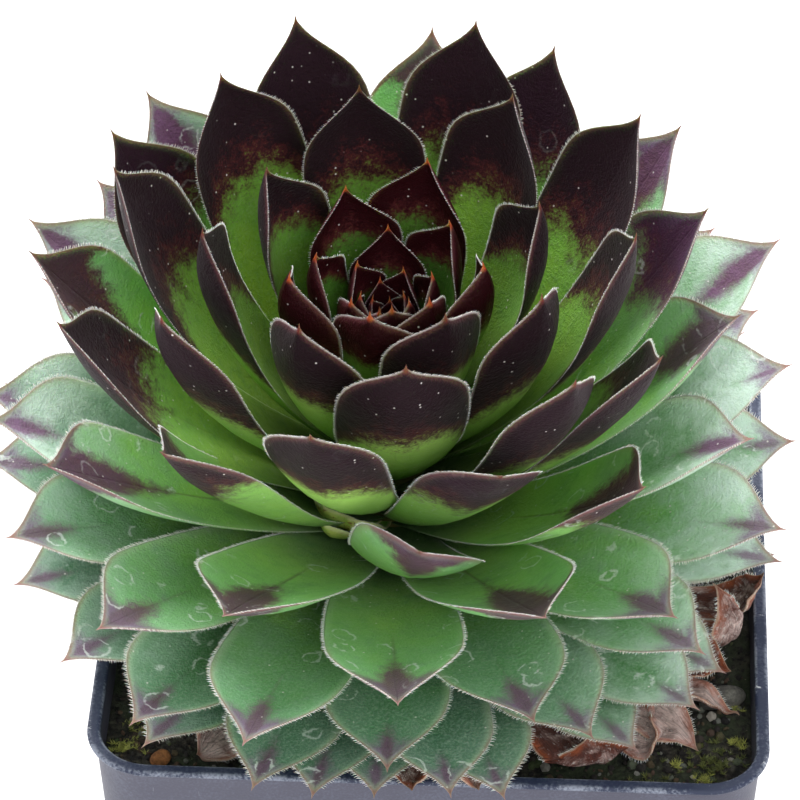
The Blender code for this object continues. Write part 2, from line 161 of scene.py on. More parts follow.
# %% Shader maths
class Shade:
    """One output of a material's nodes."""

    def __init__(self, tree, socket=None):
        self.tree, self.socket = tree, socket

    def feed(self, target, value):
        """Gives a node's socket a link, a number or a screen colour."""
        if isinstance(value, Shade):
            self.tree.links.new(value.socket, target)
        else:
            target.default_value = linear(*value) if target.type == "RGBA" else value

    def node(self, kind, settings=None, sockets=None, output=0):
        """Adds a node: its settings first, then a value or a link for each named socket."""
        made = self.tree.nodes.new("ShaderNode" + kind)
        for name, value in (settings or {}).items():
            setattr(made, name, value)
        for name, value in (sockets or {}).items():
            self.feed(made.inputs[name], value)
        return Shade(self.tree, made.outputs[output])

    def math(self, operation, *others):
        """A Math node over this value and the others."""
        return self.node("Math", {"operation": operation}, dict(enumerate((self, *others))))

    __add__ = __radd__ = partialmethod(math, "ADD")
    __sub__ = partialmethod(math, "SUBTRACT")
    __mul__ = __rmul__ = partialmethod(math, "MULTIPLY")
    __truediv__ = partialmethod(math, "DIVIDE")
    __pow__ = partialmethod(math, "POWER")
    __abs__ = partialmethod(math, "ABSOLUTE")
    at_least = partialmethod(math, "MAXIMUM")
    at_most = partialmethod(math, "MINIMUM")

    def __rsub__(self, other):
        """A number minus this value, as this value times -1 plus the number."""
        return self * -1 + other

    def rise(self, low, high, bottom=0.0, top=1.0):
        """From bottom to top, smoothly, as this value goes from low to high."""
        return self.node("MapRange", {"interpolation_type": "SMOOTHSTEP"}, {
            "Value": self, "From Min": low, "From Max": high, "To Min": bottom, "To Max": top})

    def mix(self, first, second):
        """The first colour where this value is 0, the second where it is 1."""
        return self.node("Mix", {"data_type": "RGBA"}, {0: self, 6: first, 7: second}, 2)

    def ramp(self, *stops):
        """Colours along this value: each stop is its place, 0 to 1, and a screen colour."""
        shade = self.node("ValToRGB", sockets={"Fac": self})
        elements = shade.socket.node.color_ramp.elements
        while len(elements) < len(stops):
            elements.new(0.5)
        for element, (place, tone) in zip(elements, stops):
            element.position, element.color = place, linear(*tone)
        return shade

    def place(self):
        """The point in the object's own space, in metres."""
        return self.node("TexCoord", output="Object")

    def split(self):
        """The three numbers of a point."""
        parts = self.node("SeparateXYZ", sockets={0: self}).socket.node
        return [Shade(self.tree, output) for output in parts.outputs]

    def chart(self, name):
        """The two numbers of one of the piece's own maps."""
        return self.node("UVMap", {"uv_map": name}).split()[:2]

    def noise(self, scale, detail=3, roughness=0.55, distortion=0.0, where=None):
        """Smooth chance around 0.5, scale cells a metre, over the object's space or where."""
        return self.node("TexNoise", sockets={
            "Vector": where or self.place(), "Scale": scale, "Detail": detail,
            "Roughness": roughness, "Distortion": distortion})

    def cells(self, scale, output="Distance"):
        """Distance from the nearest of scattered points, scale cells a metre, or its Color."""
        return self.node("TexVoronoi", sockets={"Vector": self.place(), "Scale": scale},
                         output=output)

    def grey(self):
        """One number from a random cell colour."""
        return self.node("SeparateColor", sockets={0: self})


def linear(*screen):
    """A screen colour, three numbers from 0 to 255, as the linear one that a shader takes."""
    share = np.array(screen) / 255
    return (*np.where(share < 0.04045, share / 12.92, ((share + 0.055) / 1.055) ** 2.4), 1)


def paint(skin, *coats):
    """Lays coats over a colour, one after the other: each is an amount and a colour."""
    for amount, coat in coats:
        skin = amount.mix(skin, coat)
    return skin


def new_material(name):
    """A Shade that adds nodes to a new material with a Principled shader."""
    made = bpy.data.materials.new(name)
    made.use_nodes = True
    ink = Shade(made.node_tree)
    ink.material = made
    return ink


def finish(ink, base, roughness, height=None, depth=0.0, **constants):
    """Connects the colour, the roughness and the bump, depth in metres, and sets constants."""
    values = {"Base_Color": base, "Roughness": roughness, **constants}
    if height is not None:
        values["Normal"] = ink.node("Bump", sockets={
            "Height": height, "Distance": depth, "Strength": 1.0})
    inputs = ink.tree.nodes["Principled BSDF"].inputs
    for name, value in values.items():
        ink.feed(inputs[name.replace("_", " ")], value)
    return ink


def dress(piece, ink, node):
    """Gives a piece its material and hides the CAD node that it stands for."""
    piece.data.materials.append(ink.material)
    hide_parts(node)


# %% [markdown]
# ## Floor and light
# The photograph has a pure white surround and one broad, soft light from above and behind,
# which lifts the leaf tips and leaves the heart dark. A white world gives the even light, a
# large lamp above gives the direction, and a weaker one in front keeps the shadows open.

# %% Floor
FLOOR_HALF = 3.0
floor_points = FLOOR_HALF * np.array([(-1, -1, 0), (1, -1, 0), (1, 1, 0), (-1, 1, 0)])
floor_mesh = bpy.data.meshes.new("floor")
floor_mesh.from_pydata(floor_points.tolist(), [], [(0, 1, 2, 3)])
floor = bpy.data.objects.new("floor", floor_mesh)
bpy.context.scene.collection.objects.link(floor)
ink = new_material("white_floor")
finish(ink, ink.noise(40, 2).mix((246, 246, 247), (250, 250, 250)), 0.9)
floor_mesh.materials.append(ink.material)

# %% Light
scene = bpy.context.scene
scene.view_settings.view_transform = "Standard"
scene.world = bpy.data.worlds.new("white_room")
scene.world.use_nodes = True
sky = scene.world.node_tree.nodes["Background"].inputs
sky["Color"].default_value, sky["Strength"].default_value = (1, 1, 1, 1), 1.0


def soft_light(name, place, aim, size, power):
    """A square lamp at a place, turned towards a point, both in metres."""
    data = bpy.data.lights.new(name, "AREA")
    data.size, data.energy = size, power
    lamp = bpy.data.objects.new(name, data)
    lamp.location = place
    away = np.array(place) - np.array(aim)
    lamp.rotation_euler = (np.arctan2(np.hypot(*away[:2]), away[2]), 0,
                           np.arctan2(away[0], -away[1]))
    scene.collection.objects.link(lamp)


middle = (0, 0, 110 * MM)
soft_light("window", (-0.25, 0.45, 0.85), middle, 0.55, 12.0)
soft_light("fill", (0.35, -0.7, 0.6), middle, 0.6, 4.0)
print("light: a white room, a window above and behind, a fill in front")

# %% [markdown]
# ## The pot
# A nursery pot is blown or moulded from thin black plastic: a tapered square with rounded
# corners and a lip that stands out round the top. It is a profile, wall and lip, carried
# along a rounded square. Carrying one profile keeps the wall even, and the corner radius may
# change with the height.

# %% Pot measures
POT_HEIGHT, RIM_WIDTH, BASE_WIDTH = 79.4, 90.0, 80.0
RIM_CORNER, BASE_CORNER = 8.5, 7.0
WALL, FLOOR = 0.8, 1.4
LIP_OVERHANG, LIP_DEPTH = 1.0, 0.8
LIP_ROUND, LIP_TOP_ROUND, UNDER_LIP_ROUND = 0.3, 0.45, 0.25
BASE_ROUND, FLOOR_ROUND, PROFILE_START = 1.0, 1.2, 8
DRAIN_RADIUS, DRAIN_PLACE = 1.9, 22.0
SOIL_LEVEL = 75.0


def wall_half(height):
    """Half the outside width of the tapering wall at a height, in mm."""
    return BASE_WIDTH / 2 + (RIM_WIDTH / 2 - LIP_OVERHANG - BASE_WIDTH / 2) * height / POT_HEIGHT


def wall_corner(height):
    """Radius of the wall's rounded corners at a height, in mm."""
    return BASE_CORNER + (RIM_CORNER - LIP_OVERHANG - BASE_CORNER) * height / POT_HEIGHT


def square_path(corner_steps, side_steps):
    """Walks round a rounded square: for each step the corner's direction from the middle,
    sliding from one corner to the next along a side, and the outward direction there."""
    centres, outwards = [], []
    for quarter in range(4):
        middles = np.pi / 2 * (quarter + np.array([0.5, 1.5]))
        centre, ahead = np.sqrt(2) * grid(*circle(middles))
        turns = np.pi / 2 * (quarter + np.linspace(0, 1, corner_steps + 1))
        centres.append(np.repeat(centre[None], corner_steps + 1, axis=0))
        outwards.append(grid(*circle(turns)))
        share = np.linspace(0, 1, side_steps + 1)[1:-1, None]
        centres.append(centre + (ahead - centre) * share)
        outwards.append(np.repeat(outwards[-1][-1:], side_steps - 1, axis=0))
    return np.concatenate(centres), np.concatenate(outwards)


def square_rings(half, corner, height, path):
    """Rings (rows, columns, 3) in mm: centre times (half - corner) plus outward times corner."""
    half, corner, height = (np.asarray(v, float)[:, None, None] for v in (half, corner, height))
    flat = (half - corner) * path[0] + corner * path[1]
    return grid(flat[..., 0], flat[..., 1], height[..., 0])


# %% Pot shape
def arc(half, height, radius, start, end, steps=5):
    """Points of a profile's rounding: half-width and height on a small circle, in degrees."""
    turns = np.radians(np.linspace(start, end, steps))
    return grid(half + radius * np.cos(turns), height + radius * np.sin(turns))


def pot_profile():
    """Half-width and height from the underside's middle, up the wall, over the lip and down."""
    under, lip = POT_HEIGHT - LIP_DEPTH, RIM_WIDTH / 2
    inner = wall_half(POT_HEIGHT) - WALL
    outside = np.linspace(BASE_ROUND + 0.2, under - 0.3, 24)
    inside = np.linspace(POT_HEIGHT - 1.0, FLOOR + FLOOR_ROUND, 20)
    return np.concatenate([
        grid(np.linspace(PROFILE_START, BASE_WIDTH / 2 - 2.5, 6), 0),
        arc(wall_half(BASE_ROUND) - BASE_ROUND, BASE_ROUND, BASE_ROUND, -90, -10, 6),
        grid(wall_half(outside), outside),
        arc(wall_half(under) + UNDER_LIP_ROUND, under - UNDER_LIP_ROUND, UNDER_LIP_ROUND,
            180, 90, 3),
        arc(lip - LIP_ROUND, under + LIP_ROUND, LIP_ROUND, -90, 0),
        arc(lip - LIP_TOP_ROUND, POT_HEIGHT - LIP_TOP_ROUND, LIP_TOP_ROUND, 0, 90, 7),
        arc(inner + LIP_TOP_ROUND, POT_HEIGHT - LIP_TOP_ROUND, LIP_TOP_ROUND, 90, 180, 6),
        grid(wall_half(inside) - WALL, inside),
        arc(wall_half(FLOOR) - WALL - FLOOR_ROUND, FLOOR + FLOOR_ROUND, FLOOR_ROUND, 0, -90, 5),
        grid(np.linspace(BASE_WIDTH / 2 - 4, PROFILE_START, 6), FLOOR),
    ])


path = square_path(12, 14)
profile = pot_profile()
half, height = profile.T
corner = np.minimum(wall_corner(height) + half - wall_half(height), half * 0.9)
rings = square_rings(half, np.maximum(corner, 1.0), height, path) * MM
pot = new_piece("pot_shell", *tube(rings))

# %% Drain holes
def cut(piece, cutter):
    """Takes the cutter away from a piece for good."""
    modifier = piece.modifiers.new("cut", "BOOLEAN")
    modifier.operation, modifier.solver, modifier.object = "DIFFERENCE", "EXACT", cutter
    graph = bpy.context.evaluated_depsgraph_get()
    piece.data = bpy.data.meshes.new_from_object(piece.evaluated_get(graph))
    piece.modifiers.clear()
    bpy.data.objects.remove(cutter)


turns, levels = full_turn(28), np.array([[-FLOOR], [2 * FLOOR]])
for x in (-DRAIN_PLACE, DRAIN_PLACE):
    for y in (-DRAIN_PLACE, DRAIN_PLACE):
        rings = grid(x + DRAIN_RADIUS * np.cos(turns), y + DRAIN_RADIUS * np.sin(turns), levels)
        cut(pot, new_piece("drain", *tube(rings * MM)))
print("pot: drain holes cut,", len(pot.data.polygons), "faces")

# %% [markdown]
# The plastic is blue-black and satin, with fine scratches on the wall, and the lip carries
# white scuffs and dust where it was handled and watered. The scuffs are thresholds of
# stretched noise, kept to the lip by the height, so no picture is needed. Heights in a
# material are in metres, and the lip lies between 0.0786 and 0.0794.

# %% Black plastic
ink = new_material("black_plastic_worn")
x, y, level = ink.place().split()
lip = level.rise(0.0782, 0.0788)
cloud = ink.noise(90, 4)
grain = ink.noise(2600, 3)
stretched = ink.node("Mapping", sockets={"Vector": ink.place(), "Scale": (1, 1, 0.12)})
scratches = ink.noise(1500, 5, 0.7, 0.6, stretched).rise(0.66, 0.74)
scuffs = ink.noise(420, 6, 0.75, 0.8).rise(0.63, 0.70) * lip
past_x, past_y = ((abs(way) - (RIM_WIDTH / 2 - RIM_CORNER) * MM).at_least(0) for way in (x, y))
beyond = (past_x * past_x + past_y * past_y) ** 0.5
patchy = (cloud + grain * 0.6).rise(0.7, 0.95)
# Light lines along the lip's outer and inner edges: partly worn edges, partly a painted highlight
# on the rounding
edge = beyond.rise(0.0078, 0.0084) * level.rise(0.0772, 0.0780) * patchy
inner_lip_wear_and_highlight = abs(beyond - 0.0068).rise(0.0004, 0.0001) * level.rise(0.0788, 0.0792) * patchy
dust = (cloud * 0.6 + grain * 0.5).rise(0.5, 0.75) * level.rise(0.05, 0.076, 0.12, 0.3)
wall = level.rise(0.02, 0.074).mix((42, 43, 52), (72, 72, 86))
base = paint(wall, (lip, (34, 42, 66)), (dust, (110, 116, 134)), (scratches * 0.3, (156, 158, 166)),
             (scuffs * 0.75, (214, 216, 220)), (edge.at_least(inner_lip_wear_and_highlight) * 0.3, (196, 204, 218)))
finish(ink, base, 0.42 + cloud * 0.2 + scuffs * 0.3, grain + scratches * 0.5, 0.00006,
       Specular_IOR_Level=0.35)
dress(pot, ink, "pot")

# %% [markdown]
# ## The soil
# Dark potting mix fills the pot to about 5 mm below the rim: a low mound with lumps. Its top
# is a height field over the same rounded square, and the grid goes on down the wall and
# closes underneath. Loose crumbs and moss lie on it as small shapes of their own.

# %% Soil shape
# Where the stem leaves the soil, in mm, and how far the soil is heaped up there
FOOT = np.array([-6.7, -2.3, SOIL_LEVEL])
MOUND, MOUND_SPREAD = 0.8, 22


def soil_height(x, y):
    """Height of the soil in mm: a low mound plus lumps of three sizes."""
    away = np.hypot(x - FOOT[0], y - FOOT[1])
    place = grid(x, y, 0)
    lumps = 0.9 * field(place, 5.5, 1) + 0.7 * field(place, 2.1, 2) + 0.35 * field(place, 0.9, 3)
    return SOIL_LEVEL - MOUND + MOUND * np.exp(-((away / MOUND_SPREAD) ** 2)) + lumps


soil_path = square_path(14, 26)
shares = np.concatenate([[0.03], np.linspace(0.08, 1.0, 74)])
top = square_rings(shares * (wall_half(SOIL_LEVEL) - WALL - 0.05),
                   shares * (wall_corner(SOIL_LEVEL) - WALL), np.zeros_like(shares), soil_path)
top[..., 2] = soil_height(top[..., 0], top[..., 1])
downs = np.linspace(SOIL_LEVEL - 2, FLOOR + 0.3, 8)
down = square_rings(wall_half(downs) - WALL - 0.1, wall_corner(downs) - WALL, downs, soil_path)
shares = np.array([0.6, 0.2])
under = square_rings(shares * wall_half(FLOOR), shares * wall_corner(FLOOR),
                     np.full(2, FLOOR + 0.3), soil_path)
rings = np.concatenate([under[::-1], down[::-1], top[::-1]]) * MM
soil = new_piece("soil_bed", *tube(rings))

# %% Soil material
ink = new_material("dark_soil")
lumps = ink.noise(700, 6, 0.7)
patches = ink.noise(110, 3)
crumbs = ink.cells(1400)
base = paint(lumps.rise(0.35, 0.75).mix((8, 8, 9), (84, 78, 68)),
             ((patches + lumps * 0.6).rise(0.74, 0.96) * 0.8, (38, 52, 28)),
             ((1 - patches + lumps * 0.4).rise(0.8, 0.92) * 0.4, (84, 92, 90)),
             (ink.noise(2400, 3).rise(0.66, 0.74) * 0.6, (128, 116, 104)))
finish(ink, base, 0.93, lumps + crumbs * 0.5, 0.0006)
dress(soil, ink, "potting_soil")

# %% [markdown]
# ## The houseleek's plan
# A houseleek makes one leaf after another, each a golden angle further round than the last,
# and pushes the older ones outwards and down. So one number, the leaf's age counted in
# leaves, settles where its tip stands and how it bends. The table is the CAD source's, with
# the leaves that grew out of line, and a finer surface is laid over the same plan.

# %% Plan of the rosette
LEAN, LEAN_PIVOT = np.radians(7.8), 25.0
GREEN_AGES = (*range(113), 117, 120, 125)
GOLDEN_ANGLE, FIRST_LEAF_TURN = 137.5, 306.5
ROLL_SPREAD, SEED = 4, 7
STAGE_FIELDS = ("age", "tip_radius", "tip_height", "root_height", "width", "thickness",
                "leave", "arrive", "cup", "shoulder")
STAGES = np.array([
    (0, 1, 53, 37, 3.5, 1.2, 84, 95, 0.35, 1.5),
    (10, 4, 57.5, 35, 7, 1.4, 82, 100, 0.50, 1.5),
    (16, 9, 62, 32, 10.5, 1.7, 74, 104, 0.60, 1.6),
    (22, 14.5, 66.5, 28, 13.5, 2.0, 64, 102, 0.60, 1.8),
    (28, 24, 70.5, 24, 16, 2.3, 48, 96, 0.38, 2.1),
    (36, 35, 71.5, 19, 16.5, 2.3, 42, 80, 0.30, 2.1),
    (46, 45, 60, 14, 16.5, 2.3, 32, 60, 0.32, 2.0),
    (58, 52.5, 47, 11, 17, 2.4, 30, 40, 0.32, 2.0),
    (74, 54.5, 34, 9, 17, 2.7, 30, 16, 0.24, 2.0),
    (92, 55.5, 20.5, 7.5, 15, 2.4, 20, 4, 0.16, 2.0),
    (110, 53.5, 16.5, 6.5, 13.5, 2.2, 12, 6, 0.14, 2.0),
    (125, 53.5, 15, 6.0, 13, 2.0, 10, 8, 0.12, 2.0),
])
# Leaves that grew out of line: degrees further round, and share of the reach
OUT_OF_LINE = {
    19: (-6, 1.05), 23: (6, 1.0), 24: (-10, 1.08), 25: (-5, 1.03), 27: (-3, 1.1), 29: (2, 0.92),
    30: (3, 0.99), 31: (4, 0.95), 32: (-4, 1.15), 33: (-4, 1.03), 34: (-6, 1.03), 35: (-10, 1.1),
    36: (5, 1.06), 38: (1, 1.03), 39: (4, 0.96), 40: (-7, 1.09), 41: (-7, 1.0), 42: (-2, 1.06),
    43: (-2, 1.05), 44: (7, 0.93), 46: (5, 0.96), 47: (-4, 0.91), 48: (0, 0.88), 49: (-3, 1.0),
    50: (-8, 1.0), 51: (-6, 1.0), 52: (12, 0.85), 53: (6, 0.98), 54: (10, 0.92), 55: (-2, 0.99),
    56: (10, 1.12), 57: (-4, 1.0), 58: (-3, 1.01), 59: (-2, 1.06), 60: (2, 0.95), 62: (13, 0.94),
    65: (-5, 1.05), 68: (5, 1.04), 70: (4, 1.0), 71: (9, 1.0), 73: (-4, 1.1), 75: (-4, 1.03),
    78: (1, 1.0), 80: (8, 1.0), 81: (0, 1.08), 83: (-4, 1.01), 86: (1, 0.99), 88: (8, 1.0),
    89: (3, 1.0), 91: (-2, 0.97), 94: (3, 1.02), 96: (9, 1.0), 97: (5, 0.98), 99: (-3, 1.0),
    102: (6, 1.02), 104: (2, 1.04), 107: (-2, 1.0), 110: (8, 0.92), 112: (-8, 1.02),
    117: (-2, 1.02), 120: (-6, 0.97), 125: (0, 1.02),
}
# Leaves with a bend of their own: what differs in the stage, and the roll in degrees
OWN_SHAPE = {
    24: {"width": 12.5, "cup": 0.7},
    36: {"width": 15}, 39: {"width": 15},
    44: {"width": 15.2, "leave": 36, "arrive": 56, "cup": 0.24},
    47: {"width": 15, "cup": 0.4},
    48: {"tip_height": 50},
    51: {"tip_height": 58},
    52: {"width": 16, "leave": 24, "arrive": 58, "cup": 0.3, "tip_height": 53},
    53: {"tip_height": 57},
}
OWN_ROLL = {44: -17, 47: 6, 52: -24}
RISE_PER_REACH = 8
# Leaflets of the small bud at the front left: turn, and the tip's radius and height, and width
BUD_LEAFLETS = ((-27, 17.6, 31.2, 6.4), (-26, 18.3, 28.6, 4.4), (-17, 16.4, 29.0, 6.6))
BUD_STAGE = dict(zip(STAGE_FIELDS, (0, 0, 0, 14, 0, 1.2, 15, 72, 0.35, 1.5)))


def leaf_stage(age):
    """The stage at an age, each value in step between the table's rows, and the turn."""
    stage = {name: np.interp(age, STAGES[:, 0], column)
             for name, column in zip(STAGE_FIELDS, STAGES.T)}
    astray, reach = OUT_OF_LINE.get(age, (0, 1))
    stage["tip_radius"] *= reach
    stage["tip_height"] += (1 - reach) * RISE_PER_REACH
    stage.update(OWN_SHAPE.get(age, {}))
    return stage, np.radians(FIRST_LEAF_TURN - GOLDEN_ANGLE * age + astray)


def to_pot(points):
    """From the rosette's own leaning frame, in mm, to the pot's, in metres."""
    x, y, z = np.moveaxis(points - (0, 0, LEAN_PIVOT), -1, 0)
    leaned = grid(x, y * np.cos(LEAN) - z * np.sin(LEAN), y * np.sin(LEAN) + z * np.cos(LEAN))
    return (leaned + (0, 0, LEAN_PIVOT) + FOOT) * MM


# %% [markdown]
# ## One leaf
# The blade is a broad strap with round shoulders, drawn in suddenly to a short spine. Its
# face is a shallow channel and its back is full, so the section is a lens that is bent up
# along both margins. The surface is a tube: one parameter runs from root to tip along a
# bent midline, the other round the section.

# %% Leaf surface
WIDEST_AT, ROOT_SHARE, ROOT_RADIUS = 0.73, 0.42, 1.0
SPINE, SPINE_HALF = 2.0, 0.42


def crowded_rows(rows, power):
    """Shares of a leaf's length that crowd towards its tip, 1 - (1 - t)^power."""
    along = 1 - (1 - np.linspace(0, 1, rows)) ** power
    along[-1] = 0.9995
    return along


def blade_outline(along, shoulder):
    """Half-width share: a sine rise to the widest part, then a rounded shoulder that is drawn
    out to a point, 0.45 * (1 + cos(pi * past^shoulder)) + 0.1 * sqrt(1 - past)."""
    share = np.sin(np.pi / 2 * np.minimum(along / WIDEST_AT, 1))
    rising = ROOT_SHARE + (1 - ROOT_SHARE) * share**1.6
    past = np.clip((along - WIDEST_AT) / (1 - WIDEST_AT), 0, 1)
    ending = 0.45 * (1 + np.cos(np.pi * past**shoulder)) + 0.1 * np.sqrt(1 - past)
    return np.where(along < WIDEST_AT, rising, ending)


def bent_midline(along, stage, root_radius, handles):
    """A Bezier curve from root to tip in the leaf's upright plane, and its direction."""
    root = np.array([root_radius, stage["root_height"]])
    tip = np.array([stage["tip_radius"], stage["tip_height"]])
    length = np.linalg.norm(tip - root)
    leave, arrive = np.radians(stage["leave"]), np.radians(stage["arrive"])
    first = root + handles[0] * length * grid(*circle(leave))
    second = tip - handles[1] * length * grid(*circle(arrive))
    t = along[:, None]
    s = 1 - t
    line = s**3 * root + 3 * s**2 * t * first + 3 * s * t**2 * second + t**3 * tip
    ahead = s**2 * (first - root) + 2 * s * t * (second - first) + t**2 * (tip - second)
    return line, unit(ahead), length


def leaf_ways(turn, line, ahead, lean):
    """A leaf's midline in space, and at each row the unit ways forward along its blade, across
    it and square to it. The blade is turned about its midline by lean."""
    out, side, up = np.array([(np.sin(turn), -np.cos(turn), 0), (*circle(turn), 0), (0, 0, 1)])
    centre, forward = (part[:, :1] * out + part[:, 1:] * up for part in (line, ahead))
    normal, lean = -ahead[:, 1:] * out + ahead[:, :1] * up, lean[:, None]
    return centre, {"forward": forward, "across_way": side * np.cos(lean) + normal * np.sin(lean),
                    "normal": normal * np.cos(lean) - side * np.sin(lean)}


def section_rings(centre, half, sideways, lift, ways):
    """Rings (rows, columns, 3) round a midline: half * sideways across, and the lift above."""
    return (centre[:, None] + (half[:, None] * sideways)[..., None] * ways["across_way"][:, None]
            + lift[..., None] * ways["normal"][:, None])


def section_facts(along, sideways, half, ways, **more):
    """What the maps and the hairs need: where on the blade each point is, and its distance
    from the margin in mm."""
    values = {"along": along[:, None], "across": sideways / 2 + 0.5,
              "margin": half[:, None] * (1 - np.abs(sideways)), **more}
    shape = (len(along), len(sideways))
    return {**ways, **{key: np.broadcast_to(value, shape) for key, value in values.items()}}


def leaf_surface(turn, stage, roll, chance, rows, columns):
    """Rings (rows, columns, 3) of a leaf in mm, and what its maps need.

    Along the blade rows crowd towards the tip. Round the section the angle a gives the side
    s = cos a; the face rises by cup * half * |s|^1.6, and the back hangs below it by
    thickness * (1 - s^2)^0.75. The last two millimetres are the spine, a thin cone."""
    along = crowded_rows(rows, 1.7)
    line, ahead, length = bent_midline(along, stage, ROOT_RADIUS, (1 / 3, 1 / 3))
    centre, ways = leaf_ways(turn, line, ahead, roll * along)
    spine_share = min(SPINE / length, 0.12)
    blade = blade_outline(np.minimum(along / (1 - 0.55 * spine_share), 1), stage["shoulder"])
    taper = np.clip((1 - along) / spine_share, 0, 1) ** 1.1
    half = stage["width"] / 2 * blade + SPINE_HALF * taper * min(1, stage["width"] / 10)
    thick = stage["thickness"] * (1 - 0.25 * along - 0.45 * along**6)
    thick = thick * np.minimum(half / (stage["width"] / 2), 1) ** 0.45
    sideways, above = circle(full_turn(columns))
    cup = stage["cup"] * (0.5 + 0.9 * along**3)
    lift = (cup * half)[:, None] * np.abs(sideways) ** 1.6
    depth = thick[:, None] * np.where(above > 0, 0.06 * above, -np.abs(above) ** 1.5)
    wave = 0.05 * half * np.sin(2 * np.pi * (1.4 * along + chance)) * along
    lift = lift + depth + wave[:, None] * sideways
    bend = (chance - 0.5) * 0.05 * length * (along * (1 - along))
    centre = centre + bend[:, None] * ways["across_way"]
    spine = np.clip(1 - (1 - along) / spine_share, 0, 1)[:, None]
    facts = section_facts(along, sideways, half, ways, spine=spine, above=above / 2 + 0.5)
    return section_rings(centre, half, sideways, lift, ways), facts


# %% [markdown]
# ## What an age looks like
# Colour follows age as well. The heart and the upright leaves are stained nearly black over
# their outer half, on both faces. On older leaves the stain shrinks to a wedge along the
# midrib, and a grey-blue bloom spreads from the tip. These few numbers a leaf go into its
# maps, so one material serves every leaf.

# %% Stain and bloom by age
LOOK_AGES = (0, 10, 18, 28, 40, 46, 50, 56, 60, 65, 70, 80, 95, 125)
LOOKS = {
    "extent": (0.60, 0.36, 0.28, 0.34, 0.36, 0.38, 0.43, 0.46, 0.40, 0.28, 0.22, 0.19, 0.17, 0.16),
    "strength": (1, 1, 1, 1, 1, 1, 0.97, 0.95, 0.95, 0.9, 0.88, 0.85, 0.8, 0.75),
    "tongue": (0, 0, 0, 0, 0.15, 0.5, 0.85, 1, 1, 1, 1, 1, 1, 1),
    "bloom": (0, 0, 0, 0, 0.03, 0.08, 0.12, 0.2, 0.25, 0.4, 0.6, 0.8, 0.95, 1),
}
# Leaves that are greener or paler than their age
OWN_LOOK = {
    46: {"extent": 0.32, "tongue": 0.5, "bloom": 0.3},
    51: {"extent": 0.35, "bloom": 0.5},
    52: {"extent": 0.33, "bloom": 0.3},
    53: {"extent": 0.5, "tongue": 1, "bloom": 0.9},
    54: {"extent": 0.4, "strength": 0.9, "bloom": 0.4},
}


def piece_maps(facts, wanted):
    """UV maps, two numbers a point: each is a fact, by its name, or the same all over. The
    tube's two end points follow the rings. The margin's distance is in cm, to fit a map."""
    ends = {"along": (0, 1), "across": (0.5, 0.5), "margin": (2, 0), "spine": (0, 1),
            "above": (0.5, 0.5)}
    flat = {key: np.append(facts[key], ends[key]) for key in ends if key in facts}
    flat["margin"] = flat["margin"] / 10
    blank = np.zeros(len(flat["margin"]))
    return {name: grid(*(flat.get(value, value) for value in pair), blank)[:, :2]
            for name, pair in wanted.items()}


def leaf_maps(facts, age, chance, turn=0.0):
    """UV maps of one leaf: where on the blade, how near the margin, its stain and its tone.
    Leaves of 56 to 72 that reach out to the sides get more bloom and less stain, a painted
    reflection of the white room over their own bloom."""
    look = {name: np.interp(age, LOOK_AGES, row) for name, row in LOOKS.items()}
    look.update(OWN_LOOK.get(age, {}))
    # painted reflection: leaves of 56 to 72 reaching sideways get more bloom and less stain
    sideways = np.clip((abs(np.sin(turn)) - 0.7) / 0.25, 0, 1)
    sideways = sideways * np.interp(age, (54, 57, 70, 76), (0, 1, 1, 0))
    look["extent"] -= 0.12 * sideways
    look["bloom"] += (1.0 - look["bloom"]) * sideways
    return piece_maps(facts, {
        "blade": ("along", "across"), "edge": ("margin", "spine"),
        "stain": (look["extent"] * (0.9 + 0.2 * chance), look["strength"]),
        "tone": (look["tongue"], look["bloom"]), "face": ("above", 0),
    })


# %% [markdown]
# ## Hairs along the margins
# Every margin carries a fringe of stiff white hairs, half a millimetre long and a third of a
# millimetre apart. Each is a three-sided spike with one bend. They are worked out together
# as arrays: where each stands, which way it points, and how long it is.

# %% Hair surface
HAIR_HALF, HAIR_GAP, HAIR_SINK = 0.065, 0.32, 0.08
HAIR_FULL_FROM, HAIR_KNEE, HAIR_BEND = 0.55, 0.55, 0.18


def margin_hairs(rings, facts, start, chance, length):
    """Roots, directions, bends and lengths of the hairs along both margins of a leaf, set at
    equal steps of arc length with a little chance."""
    made = []
    for column, sign in ((0, 1.0), (rings.shape[1] // 2, -1.0)):
        line = rings[:, column]
        run = np.concatenate([[0], np.cumsum(np.linalg.norm(np.diff(line, axis=0), axis=1))])
        begin = np.interp(start, facts["along"][:, 0], run)
        count = max(int((run[-1] - SPINE * 0.9 - begin) / HAIR_GAP), 2)
        at = begin + HAIR_GAP * (np.arange(count) + chance.uniform(-0.3, 0.3, count))
        pick, along, across, normal = (
            grid(*(np.interp(at, run, part) for part in values.T))
            for values in (line, facts["forward"], facts["across_way"], facts["normal"]))
        grown = np.clip((at - begin) / 6, 0.35, 1)
        way = unit(across * sign + along * chance.uniform(0.1, 0.6, (count, 1))
                   + normal * chance.uniform(-0.1, 0.45, (count, 1)))
        size = length * grown * chance.uniform(0.7, 1.15, count)
        made.append((pick - way * HAIR_SINK, way, along, size))
    return [np.concatenate(part) for part in zip(*made)]


